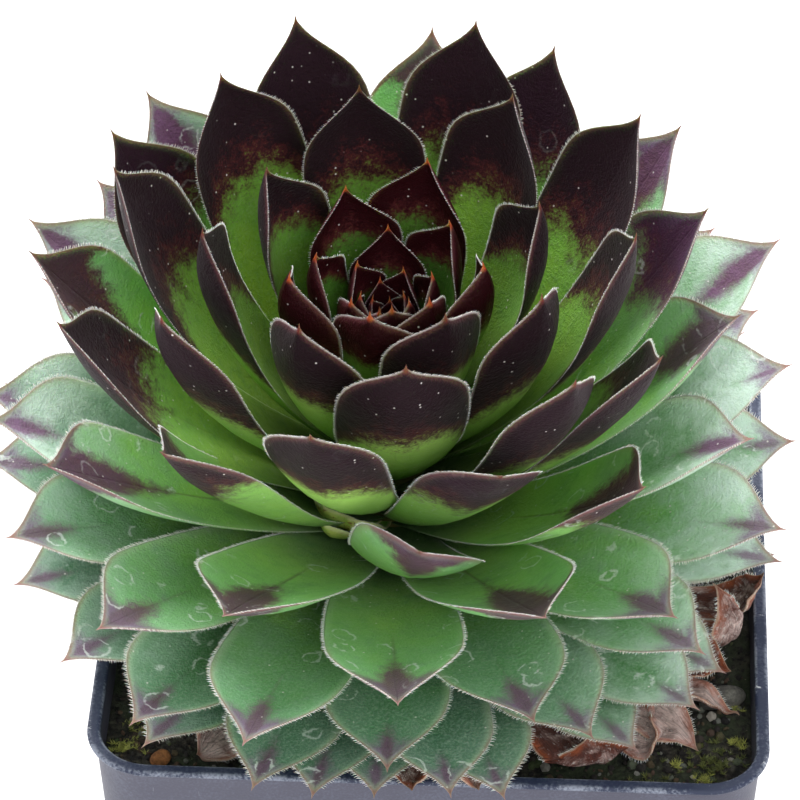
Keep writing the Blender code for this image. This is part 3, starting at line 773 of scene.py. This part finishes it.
def hair_piece(name, hairs, lay=to_pot):
    """All hairs as closed three-sided spikes: a root ring, a ring at the knee and a point that
    bends forward. Hairs under 0.55 mm are thinner too. lay takes them to the pot's frame."""
    root, way, bend, size = (np.concatenate(part) for part in zip(*hairs))
    size = size[:, None]
    first = unit(np.cross(way, bend))
    turns = full_turn(3)[:, None]
    spread = HAIR_HALF * np.minimum(size / HAIR_FULL_FROM, 1)[:, None] * (
        np.cos(turns) * first[:, None] + np.sin(turns) * np.cross(way, first)[:, None])
    low = root[:, None] + spread
    high = (root + way * HAIR_KNEE * size)[:, None] + 0.6 * spread
    point = (root + way * size + bend * HAIR_BEND * size)[:, None]
    points = np.concatenate([low, high, point], axis=1).reshape(-1, 3)
    step = 7 * np.arange(len(root))[:, None, None]
    quads = np.array([(0, 1, 4, 3), (1, 2, 5, 4), (2, 0, 3, 5)]) + step
    caps = np.array([(3, 4, 6), (4, 5, 6), (5, 3, 6), (2, 1, 0)]) + step
    return new_piece(name, lay(points), [quads.reshape(-1, 4), caps.reshape(-1, 3)])


# %% Grow the leaves
def join(parts):
    """Several bodies, each points, faces and maps, as one: faces are moved on in number."""
    moved, total = [], 0
    for points, faces, _ in parts:
        moved += [face + total for face in faces]
        total += len(points)
    maps = {key: np.concatenate([part[2][key] for part in parts]) for key in parts[0][2]}
    return np.concatenate([part[0] for part in parts]), moved, maps


GROUPS = {"heart": (0, 22), "dark": (23, 56), "green": (57, 130)}
bodies = {name: [] for name in GROUPS}
fringes = {name: [] for name in GROUPS}
roll_chance = np.random.default_rng(SEED)
look_chance = np.random.default_rng(SEED + 1)
hair_chance = np.random.default_rng(SEED + 2)
for age in GREEN_AGES:
    by_chance = roll_chance.normal(0, ROLL_SPREAD)
    roll = np.radians(OWN_ROLL.get(age, by_chance))
    luck = look_chance.random()
    group = next(name for name, (low, high) in GROUPS.items() if low <= age <= high)
    stage, turn = leaf_stage(age)
    rows, columns = (22, 16) if age < 12 else (34, 24)
    rings, facts = leaf_surface(turn, stage, roll, luck, rows, columns)
    bodies[group].append((*tube(to_pot(rings)), leaf_maps(facts, age, luck, turn)))
    hair = np.interp(age, (5, 16, 45, 65), (0.22, 0.36, 0.46, 0.62))
    fringes[group].append(margin_hairs(rings, facts, 0.4 if age < 40 else 0.25, hair_chance, hair))
leaves = {name: new_piece(f"{name}_leaves", *join(parts)) for name, parts in bodies.items()}
hairs = {name: hair_piece(f"{name}_hairs", parts) for name, parts in fringes.items()}

# %% Side bud
buds, bud_fringe = [], []
for turn, radius, height, width in BUD_LEAFLETS:
    stage = {**BUD_STAGE, "tip_radius": radius, "tip_height": height, "width": width}
    rings, facts = leaf_surface(np.radians(turn), stage, 0.0, 0.5, 24, 16)
    buds.append((*tube(to_pot(rings)), leaf_maps(facts, 60, 0.5)))
    bud_fringe.append(margin_hairs(rings, facts, 0.5, hair_chance, 0.35))
side_bud = new_piece("side_bud", *join(buds))
bud_hairs = hair_piece("bud_hairs", bud_fringe)

# %% Stem
# Height above the soil and radius, from the root's end to the heart
STEM_PROFILE = np.array([(-22, 1.6), (-12, 3.6), (-2, 5.2), (4, 6.4), (15, 6.6), (28, 5.0),
                         (37, 1.5)])
heights = np.linspace(-22, 37, 40)
radii = np.interp(heights, *STEM_PROFILE.T)
turns = full_turn(32)
rings = grid(*circle(turns, radii[:, None]), heights[:, None])
rings[..., :2] *= (1 + 0.12 * field(rings, 3.0, 5))[..., None]
stem = new_piece("stem", *tube(to_pot(rings)))

# %% [markdown]
# ## The leaf's finish
# Seen close, a living leaf is satin green with a fine velvety grain. The base is yellow-green,
# the outer half carries a grey-blue bloom, the stain is maroon at its ragged edge and nearly
# black inside, and a thin pale line runs along the margin. White dust, and the outlines of
# dried water drops, lie on top.

# %% Living leaf
# The heart's middle, in metres, where the painted shade is darkest
HEART_PLACE = (-6.7 * MM, -7.2 * MM)


def living_leaf(name, sheen, gloss, young_rim, heart, prick):
    """The finish of the living leaves: velvet, gloss, how clear the pale margin is, the
    darkest colour of the stain, and the spine's colour."""
    ink = new_material(name)
    x, y, z = ink.place().split()
    along, across = ink.chart("blade")
    margin, spine = ink.chart("edge")
    extent, strength = ink.chart("stain")
    tongue, bloom = ink.chart("tone")
    face, _ = ink.chart("face")
    side, from_margin, upper = abs(across * 2 - 1), margin * 10, face.rise(0.42, 0.58)
    broad = ink.noise(130, 2) - 0.5
    mottle = ink.noise(560, 4, 0.65) - 0.5
    fine = ink.noise(2600, 3, 0.7) - 0.5

    # The green: yellow at the root, deep in the middle, grey-blue towards the edge and tip. Far out
    # to the sides or high up the bloom's frost shows, a painted reflection over the real bloom;
    # low down and in the heart it is darker, which is painted shade. Undersides and the inner
    # halves of the middle leaves are painted lighter, painted light, partly the undersides' own
    # paler green
    right = x.rise(0.0, 0.03)
    painted_sheen_reach = abs(x).rise(0.022, 0.052, 0.6, 1.8) * z.rise(0.098, 0.125, 0.35, 1.0).at_least(right)
    frost = (along * 1.6 + side * 0.4 + broad * 1.2 + mottle * 0.8).rise(0.85, 1.95) * bloom
    from_x, from_y = x - HEART_PLACE[0], y - HEART_PLACE[1]
    green = paint(
        (along + broad * 0.35).rise(0.2, 0.9).mix((164, 204, 50), (100, 178, 76)),
        (mottle * 2.4, (66, 142, 58)),
        ((1 - tongue) * upper * 0.5, (92, 118, 30)),
        # painted light: young undersides lighter, partly their own paler green
        ((1 - upper) * (1 - tongue) * 0.9, (188, 234, 108)),
        (bloom * (along + broad).rise(0.1, 0.7, 0.1, 0.85),
         x.rise(0.0, 0.04).mix((54, 112, 84), (78, 140, 74))),
        ((broad * 2.2 + mottle).rise(0.0, 0.8) * tongue * 0.45, (36, 92, 48)),
        # painted light: the inner halves of the middle leaves lifted out of their shade
        (tongue * (1 - bloom) * (1 - along) * 0.95, (168, 232, 120)),
        # painted shade: darker low down, less so on the right
        (z.rise(0.106, 0.088) * (1 - right * 0.6) * 0.55, (34, 78, 58)),
        # painted reflection: the bloom's pale frost, shown only far out to the sides or high up
        ((frost * painted_sheen_reach * (0.85 + right * 0.1)).at_most(0.95), (204, 225, 213)),
        ((fine + 0.06) * (0.3 + bloom * 0.8), (196, 216, 196)),
        # painted shade: darker towards the middle of the heart
        (((from_x * from_x + from_y * from_y) ** 0.5).rise(0.006, 0.024, 0.7, 0), (20, 74, 22)))

    # The stain: straight across a young blade and further down its margins; on an older one
    # a tongue down the midrib, the point, and a short arm along each margin
    ragged = mottle * 0.9 + fine * 0.8 + broad * 0.5
    inside = (along - 1 + extent) / extent
    young = inside + side * side * side * 0.5 - 0.04
    arm = 1 - from_margin / (extent * 3 + 0.6) - inside.rise(0.85, 0.3) * 2 - bloom * 0.7
    tip_wedge = inside - 0.15 - side * (0.95 + bloom * 0.25)
    old = tip_wedge.at_least(arm).at_least((along - 0.86 - bloom * 0.06) * 8)
    stained = young + (old - young) * tongue + ragged * (0.42 + (1 - tongue) * upper * 0.1)
    stain = (stained / (1 + bloom * 0.8)).rise(-0.14, 0.14) * strength
    deep = (stained + fine * 0.3 + mottle * 0.3).rise(0.0, 0.36) * (1 - bloom * 0.6)
    wedge = (tip_wedge + ragged * 0.4).rise(0.0, 0.2)
    pale = along.rise(0.84, 0.95) * bloom.rise(0.1, 0.6) * (1 - wedge * 0.85)
    # painted sheen: a grey-lilac haze on the undersides of older leaves, away from the margin
    painted_underside_sheen = (1 - upper) * from_margin.rise(0.4, 3.0) * tongue * 0.06
    midrib = (0.05 - side).rise(0, 0.05) * (inside + 0.5).rise(0, 0.4) * tongue * upper
    purple = paint(
        deep.mix((76, 32, 33), tongue.rise(0.5, 1.0).mix(heart, (54, 20, 36))),
        (bloom * 0.8 * (0.7 + broad + mottle), (126, 80, 126)),
        (pale * from_margin.rise(0.2, 0.9, 0.4) * 0.65, (130, 104, 140)),
        (painted_underside_sheen * (0.6 + mottle), (122, 104, 112)))

    # Margin, spine, the outlines of dried drops, and dust
    light_edge = (from_margin + fine * 0.6).rise(1.6, 0.1) * bloom * 0.5
    blush = (from_margin + fine).rise(0.9, 0.1) * along.rise(0.7, 0.9) * (0.2 + tongue * 0.4)
    rim = (from_margin + fine * 0.2).rise(0.20, 0.06) * along.rise(0.1, 0.35) * young_rim
    wobble = ink.noise(420, 3, 0.6) - 0.5
    drop_luck, speck_luck = (ink.cells(scale, "Color").grey() for scale in (210, 900))
    band = abs(ink.cells(210) + wobble * 0.5 - 0.30 * drop_luck - 0.08)
    ring = band.rise(0.055, 0.01) * drop_luck.rise(0.55, 0.62) * (wobble + mottle).rise(-0.12, 0.05)
    wet = bloom.at_least(tongue * 0.4) * (1 - deep * 0.85)
    specks = ink.cells(900).rise(0.17, 0.06) * speck_luck.rise(0.80, 0.84)
    skin = paint(
        stain.at_least(midrib * strength * 0.6 * (1 - bloom)).mix(green, purple),
        (light_edge, (196, 214, 186)),
        (blush, (140, 78, 86)),
        (rim * (0.75 - bloom * 0.4), (232, 222, 222)),
        (spine.rise(0.05, 0.45) * (0.95 - tongue * 0.3), prick),
        (ring * wet.at_most(0.45), (240, 246, 243)),
        (specks * 0.7, (232, 226, 222)))
    relief = fine * 0.9 + mottle * 0.8 - midrib * (0.6 - bloom * 0.5)
    return finish(ink, skin, 0.40 + bloom * 0.2 + mottle * 0.3, relief, 0.0003,
                  Sheen_Weight=sheen, Sheen_Roughness=0.4, Specular_IOR_Level=gloss,
                  Subsurface_Weight=0.10, Subsurface_Scale=0.003,
                  Subsurface_Radius=(0.4, 0.8, 0.2))


LEAF_FINISH = {
    "heart": (0, 0.08, 0.2, (42, 10, 15), (184, 78, 46)),
    "dark": (0.05, 0.08, 0.35, (29, 14, 20), (104, 46, 40)),
    "green": (0.07, 0.2, 0.6, (23, 9, 13), (146, 96, 94)),
}
for name, looks in LEAF_FINISH.items():
    dress(leaves[name], living_leaf(f"leaf_{name}", *looks), "rosette")

ink = new_material("bud_flesh")
along, _ = ink.chart("blade")
margin, _ = ink.chart("edge")
mottle, grain = ink.noise(500, 3) - 0.5, ink.noise(2400, 4, 0.7) - 0.5
# painted light: the bud's yellow-green is lightened against the shade it sits in between the leaves
base = paint((along + mottle).rise(0.3, 1.0).mix((140, 196, 70), (214, 226, 120)),
             ((grain * 1.4 + mottle * 1.2 + along * 0.5 - 0.45).rise(0.0, 0.25), (128, 50, 26)),
             ((margin * 10).rise(0.6, 0.1), (232, 236, 168)))
finish(ink, base, 0.45, grain + mottle, 0.0002, Subsurface_Weight=0.1,
       Subsurface_Scale=0.002, Specular_IOR_Level=0.3)
dress(side_bud, ink, "rosette")

# %% Hairs and stem
white = new_material("white_hair")
tint = white.noise(900, 2)
finish(white, tint.mix((214, 208, 198), (250, 248, 244)), 0.45,
       Subsurface_Weight=0.2, Subsurface_Scale=0.0005)
for piece in (*hairs.values(), bud_hairs):
    dress(piece, white, "rosette")

ink = new_material("green_stem")
scars = ink.noise(400, 4)
finish(ink, scars.mix((70, 96, 40), (120, 104, 64)), 0.6, scars, 0.0004)
dress(stem, ink, "rosette")

# %% [markdown]
# ## Withered leaves
# Below the living leaves the oldest ones dry out. They lie on the soil as brown straps, and
# some curl up at their tips into sight between the leaves. They follow the same spiral, with
# a papery section of even thickness that is folded, wrinkled and fringed.

# %% Withered leaf surface
DRY_AGES = (*range(113, 117), 118, 119, *range(121, 125), *range(126, 132), 133, 136, 138, 141,
            143, 146, 151)
DRY_STAGE = dict(zip(STAGE_FIELDS, (0, 46, 2.0, 1.4, 10.5, 0.8, 0, 0, 0.25, 1.5)))
DRY_HANDLES, DRY_ROOT_RADIUS, DRY_WALL_GAP, DRY_HALF_THICK = (0.35, 0.2), 8.5, 1.5, 0.35
# Those in sight, by age: turn and roll in degrees, and what differs in the stage
CURLED = {
    122: (80, 15, {"tip_radius": 51.5, "tip_height": 8.8, "arrive": 72, "width": 6.5, "cup": 0.4}),
    133: (70, -20, {"tip_radius": 46.5, "tip_height": 13, "arrive": 132, "width": 6.5, "cup": 0.9}),
    143: (63, 15, {"tip_radius": 52.5, "tip_height": 4.3, "arrive": 5, "width": 9, "cup": 0.5}),
    130: (58, -25, {"tip_radius": 56.5, "tip_height": 2.4, "arrive": -5, "width": 5, "cup": 0.5}),
    151: (50, 5, {"tip_radius": 55.5, "tip_height": 1.6, "arrive": -10, "width": 8.5, "cup": 0.3}),
    138: (46, 55, {"tip_radius": 50, "tip_height": 7, "leave": 10, "arrive": 98, "width": 7}),
    146: (35, -18, {"tip_radius": 47.8, "tip_height": 7.3, "leave": 15, "arrive": 110,
                    "width": 13}),
    128: (16, 0, {"tip_radius": 50, "tip_height": 5.3, "leave": 12, "arrive": -12, "cup": 0.05}),
    141: (6, 0, {"tip_radius": 49, "tip_height": 5.3, "leave": 12, "arrive": -12, "cup": 0.05}),
    136: (-30, -20, {"tip_radius": 47, "tip_height": 2.6, "arrive": 30, "width": 9, "cup": 0.4}),
}
COLLAR_FOOT = to_pot(np.array([0.0, 0.0, 0.0]))


def dry_surface(turn, stage, roll, chance, rows=44, columns=30):
    """A papery leaf: the face rises by cup * half * |s|^1.5 and grows its cup with the
    length, wrinkles run along it as a sine of the side, the back follows 0.7 mm below, and a
    smooth random field crumples both alike. The margin is ragged by a field along it."""
    along = crowded_rows(rows, 1.5)
    curl = 0.25 + max(stage["arrive"] - 100, 0) / 170
    handles = (0.9, curl) if stage["arrive"] > 60 else DRY_HANDLES
    line, ahead, _ = bent_midline(along, stage, DRY_ROOT_RADIUS, handles)
    centre, ways = leaf_ways(turn, line, ahead, roll * along)
    half = stage["width"] / 2 * blade_outline(along, stage["shoulder"]) + 0.25 * (1 - along) ** 0.3
    half = half * (1 + 0.3 * field(grid(along * 9 + 40 * chance, 0.5, 0.5), 0.7, 6))
    sideways, above = circle(full_turn(columns))
    lift = (stage["cup"] * along * half)[:, None] * np.abs(sideways) ** 1.5
    crease = 0.30 * np.sin(6 * sideways[None] + 9 * along[:, None] + 6 * chance)
    crease = crease * (1 - sideways[None] ** 2) * np.minimum(half, 1)[:, None]
    thick = DRY_HALF_THICK * np.minimum(half / 2, 1)[:, None]
    depth = thick * np.sign(above) * np.abs(above) ** 0.6
    rings = section_rings(centre, half, sideways, lift + depth + crease - DRY_HALF_THICK, ways)
    crumple = (1.5 * field(rings, 3.1, 7) + 1.2 * field(rings, 1.4, 8)) * along[:, None]
    rings = rings + crumple[..., None] * ways["normal"][:, None]
    return rings, section_facts(along, sideways, half, ways)


def room_to_wall(turn):
    """Distance in mm from the stem's foot to the pot's inner wall, that way round."""
    rooms = np.arange(70, 20, -0.25)
    foot = COLLAR_FOOT / MM
    half, corner = wall_half(SOIL_LEVEL) - WALL, wall_corner(SOIL_LEVEL) - WALL
    x = np.abs(foot[0] + rooms * np.sin(turn))
    y = np.abs(foot[1] - rooms * np.cos(turn))
    inside = np.hypot(np.maximum(x - half + corner, 0), np.maximum(y - half + corner, 0)) < corner
    return rooms[np.argmax(inside)]


# %% Lay the withered leaves
dry_parts, dry_fringe = [], []
chance = np.random.default_rng(SEED)
for age in DRY_AGES:
    turn = FIRST_LEAF_TURN - GOLDEN_ANGLE * age
    roll = chance.normal(0, 8)
    stage = dict(DRY_STAGE)
    stage["tip_radius"] *= chance.uniform(0.8, 1.0)
    stage["tip_height"] += chance.uniform(-0.6, 1.2)
    stage["width"] += chance.uniform(-1.5, 1.5)
    stage["arrive"] = chance.uniform(-10, 15)
    if age in CURLED:
        turn, roll, changes = CURLED[age]
        stage.update(changes)
    turn = np.radians(turn)
    if age not in CURLED:
        stage["tip_radius"] = min(stage["tip_radius"], room_to_wall(turn) - DRY_WALL_GAP)
    luck = look_chance.random()
    rings, facts = dry_surface(turn, stage, np.radians(roll), luck)
    maps = piece_maps(facts, {"blade": ("along", "across"), "edge": ("margin", luck)})
    dry_parts.append((*tube(rings * MM + COLLAR_FOOT), maps))
    if age in CURLED:
        dry_fringe.append(margin_hairs(rings, facts, 0.35, hair_chance, 0.6))
dry_leaves = new_piece("dry_leaves", *join(dry_parts))

# %% Collar of old leaf bases
turns, rounds = full_turn(72)[:, None], full_turn(12)
radius = 8.7 + 1.6 * np.cos(rounds) * (1 + 0.3 * np.sin(13 * turns))
level = 1.25 + 0.75 * np.sin(rounds) + 0.15 * np.sin(13 * turns)
ring = grid(*circle(turns, radius), level)
index = np.arange(radius.size).reshape(radius.shape)
quads = grid(index, np.roll(index, -1, 0), np.roll(index, (-1, -1), (0, 1)),
             np.roll(index, -1, 1)).reshape(-1, 4)
collar = new_piece("leaf_bases", ring.reshape(-1, 3) * MM + COLLAR_FOOT, [quads])

# %% Dry leaf material
ink = new_material("dry_leaf_papery")
along, across = ink.chart("blade")
margin, luck = ink.chart("edge")
mottle = ink.noise(330, 6, 0.72, 0.6)
specks = ink.noise(1900, 4, 0.7)
fibres = ink.node("CombineXYZ", sockets={0: along * 4, 1: across * 7, 2: luck * 9})
veins = ink.noise(3, 4, 0.65, 0.8, fibres)
base = paint((luck + (mottle - 0.5) * 3.0).rise(0.0, 0.95).mix((96, 46, 34), (228, 202, 194)),
             ((veins - 0.44) * 2.6, (44, 24, 22)),
             ((margin * 10 + mottle * 3).rise(3.0, 1.2) * 0.75, (186, 92, 46)),
             ((specks + mottle * 0.5).rise(0.84, 0.95, 0, 0.8), (222, 214, 208)),
             ((specks + mottle).rise(0.82, 0.66, 0, 0.7), (40, 22, 22)),
             ((margin * 10).rise(0.22, 0.06) * 0.6, (220, 196, 172)))
finish(ink, base, 0.75, veins + mottle * 1.2 + specks * 0.4, 0.0008)
for piece in (dry_leaves, collar):
    dress(piece, ink, "withered_leaves")

# %% [markdown]
# ## Stones
# A grey chip lies at the front right and a small brown stone at the front left. A chip is
# what a few flat breaks leave of a lump: in each direction from the middle the surface is
# the nearest of some random planes, softened a little so that the edges are worn.

# %% Stones
def chip(middle, half, turn, planes, seed, rows=28, columns=44, sharp=22):
    """Radius in each direction: a soft minimum, power -sharp, over planes at random distances."""
    chance = np.random.default_rng(seed)
    normals = unit(chance.normal(size=(planes, 3)))
    away = chance.uniform(0.70, 1.0, planes)
    polar, turns = np.pi * (np.arange(rows)[:, None] + 0.5) / rows, full_turn(columns)
    way = grid(*circle(turns, np.sin(polar)), -np.cos(polar))
    reach = np.maximum(way @ normals.T, 1e-3) / away
    radius = (np.sum(reach**sharp, axis=-1) + 1) ** (-1 / sharp)
    rings = way * (radius * (1 + 0.07 * field(way, 0.25, seed)))[..., None] * half
    c, s = np.cos(np.radians(turn)), np.sin(np.radians(turn))
    x, y, z = np.moveaxis(rings, -1, 0)
    rings = grid(x * c - y * s, x * s + y * c, z) + middle
    return tube(rings * MM)


# Middle, half size, turn, number of planes and seed, then the dark and the light colour
STONES = {
    "grey_chip": ((39.0, -23.7, 75.3), (3.3, 1.9, 1.7), 18, 11, 4, (52, 52, 50), (132, 130, 120)),
    "brown_chip": ((-35.3, -38.1, 75.1), (1.5, 1.2, 1.2), 40, 12, 9, (92, 58, 34), (178, 118, 66)),
}
for name, (*form, dark, light) in STONES.items():
    piece = new_piece(name, *chip(*form))
    ink = new_material(name.replace("chip", "rock"))
    speckle, cloud = ink.noise(1900, 4, 0.7), ink.noise(380, 3)
    base = (cloud * 0.7 + speckle * 0.6 - 0.25).rise(0.15, 0.75).mix(dark, light)
    finish(ink, base, 0.85, speckle + cloud, 0.0003)
    dress(piece, ink, name.replace("chip", "stone"))

# %% [markdown]
# ## Crumbs and moss
# Crumbs of bark and peat lie loose on the soil, and moss grows in small tufts near the rim.
# A crumb is a squashed twenty-sided lump. A moss shoot is a star of short pointed leaflets.
# Both are one small shape laid many times, so the arrays hold every copy at once.

# %% Scatter helper
def scatter(name, shape, faces, places, sizes, ways, luck):
    """One small shape, points (k, 3), laid at each place with a size a side and a 3x3 turn."""
    points = np.einsum("nij,nkj->nki", ways, shape[None] * sizes[:, None]) + places[:, None]
    step = len(shape) * np.arange(len(places))[:, None, None]
    parts = [(part + step).reshape(-1, part.shape[1]) for part in faces]
    chart = np.repeat(grid(luck, 1 - luck), len(shape), axis=0)
    return new_piece(name, points.reshape(-1, 3) * MM, parts, {"luck": chart}, smooth=False)


def random_turns(chance, count):
    """Random turns as matrices, from unit quaternions."""
    turns = chance.normal(size=(4, count))
    w, x, y, z = turns / np.linalg.norm(turns, axis=0)
    return np.stack([
        grid(1 - 2 * (y * y + z * z), 2 * (x * y - z * w), 2 * (x * z + y * w)),
        grid(2 * (x * y + z * w), 1 - 2 * (x * x + z * z), 2 * (y * z - x * w)),
        grid(2 * (x * z - y * w), 2 * (y * z + x * w), 1 - 2 * (x * x + y * y))], axis=1)


# %% Crumbs
golden = (1 + 5**0.5) / 2
lump = np.array([(-1, golden, 0), (1, golden, 0), (-1, -golden, 0), (1, -golden, 0),
                 (0, -1, golden), (0, 1, golden), (0, -1, -golden), (0, 1, -golden),
                 (golden, 0, -1), (golden, 0, 1), (-golden, 0, -1), (-golden, 0, 1)]) / 1.9
lump_faces = np.array([
    (0, 11, 5), (0, 5, 1), (0, 1, 7), (0, 7, 10), (0, 10, 11), (1, 5, 9), (5, 11, 4), (11, 10, 2),
    (10, 7, 6), (7, 1, 8), (3, 9, 4), (3, 4, 2), (3, 2, 6), (3, 6, 8), (3, 8, 9), (4, 9, 5),
    (2, 4, 11), (6, 2, 10), (8, 6, 7), (9, 8, 1)])
chance = np.random.default_rng(21)
CRUMBS, CRUMB_WALL_GAP = 5200, 1.0
reach = wall_half(SOIL_LEVEL) - WALL - CRUMB_WALL_GAP
spots = chance.uniform(-reach, reach, (CRUMBS, 2))
bend = wall_corner(SOIL_LEVEL) - WALL
past = np.maximum(np.abs(spots) - reach + bend, 0)
spots = spots[np.hypot(*past.T) < bend]
count = len(spots)
sizes = np.exp(chance.normal(-0.95, 0.45, count))[:, None] * chance.uniform(0.5, 1.2, (count, 3))
ground = soil_height(spots[:, 0], spots[:, 1]) + 0.1
crumbs = scatter("soil_crumbs", lump, [lump_faces], np.column_stack([spots, ground]),
                 np.minimum(sizes, 0.8), random_turns(chance, count), chance.random(count))
ink = new_material("soil_crumb")
luck, _ = ink.chart("luck")
speckle = ink.noise(1600, 4, 0.7)
shade = luck.ramp((0.0, (12, 12, 13)), (0.5, (46, 42, 39)), (0.72, (94, 72, 56)),
                  (0.84, (64, 80, 44)), (0.94, (116, 118, 112)), (1.0, (176, 170, 158)))
finish(ink, (speckle * 0.5).mix(shade, (24, 21, 20)), 0.9, speckle, 0.0003)
dress(crumbs, ink, "potting_soil")

# %% Moss
# Middle, spread, number of shoots and how yellow they are
MOSS_SPOTS = (
    (41.0, -31.1, 1.0, 16, 1.0), (36.6, -38.3, 1.2, 20, 1.0), (32.8, -35.1, 0.7, 9, 1.1),
    (40.6, -24.6, 0.9, 10, 0.8), (38.0, -34.5, 4.5, 70, 0.25), (30.0, -39.8, 2.4, 30, 0.3),
    (-38.0, -30.5, 3.2, 60, 0.6), (-40.5, -36.0, 2.0, 26, 0.9), (41.0, 12.0, 2.0, 24, 0.8),
    (-41.0, 20.0, 2.2, 26, 0.8), (8.0, 41.0, 2.4, 26, 0.8))
leaflet = np.array([(0.12, 0, 0), (-0.06, 0.1, 0), (-0.06, -0.1, 0), (0.3, 0, 1.0)])
leaflet_faces = np.array([(0, 1, 3), (1, 2, 3), (2, 0, 3), (2, 1, 0)])
LEAFLETS = 13
chance = np.random.default_rng(33)
places, ways, yellow = [], [], []
for x, y, spread, shoots, tone in MOSS_SPOTS:
    here = chance.normal(0, spread * 0.5, (shoots, 2)) + (x, y)
    for px, py in np.clip(here, -reach, reach):
        turn = chance.uniform(0, 2 * np.pi, LEAFLETS)
        tilt = np.radians(chance.uniform(15, 75, LEAFLETS))
        way = grid(*circle(turn, np.sin(tilt)), np.cos(tilt))
        first = unit(np.cross(way, (0.1, 0.2, 1.0)))
        ways.append(grid(first, np.cross(way, first), way))
        level = soil_height(px, py) + chance.uniform(0, 0.35)
        places.append(np.tile((px, py, level), (LEAFLETS, 1)))
        yellow.append(np.full(LEAFLETS, tone))
places, ways, yellow = (np.concatenate(part) for part in (places, ways, yellow))
sizes = chance.uniform(0.45, 0.95, (len(places), 1))
moss = scatter("moss", leaflet, [leaflet_faces], places, sizes, ways,
               yellow * chance.uniform(0.3, 1, len(places)))
ink = new_material("moss_green")
luck, _ = ink.chart("luck")
tint = ink.noise(500, 2)
base = (luck + tint * 0.3 - 0.15).mix((44, 58, 32), (188, 192, 98))
finish(ink, base, 0.6, tint, 0.0001)
dress(moss, ink, "potting_soil")

# %% Hairs on the withered leaves
fringe = hair_piece("dry_hairs", dry_fringe, lambda points: points * MM + COLLAR_FOOT)
dress(fringe, white, "withered_leaves")
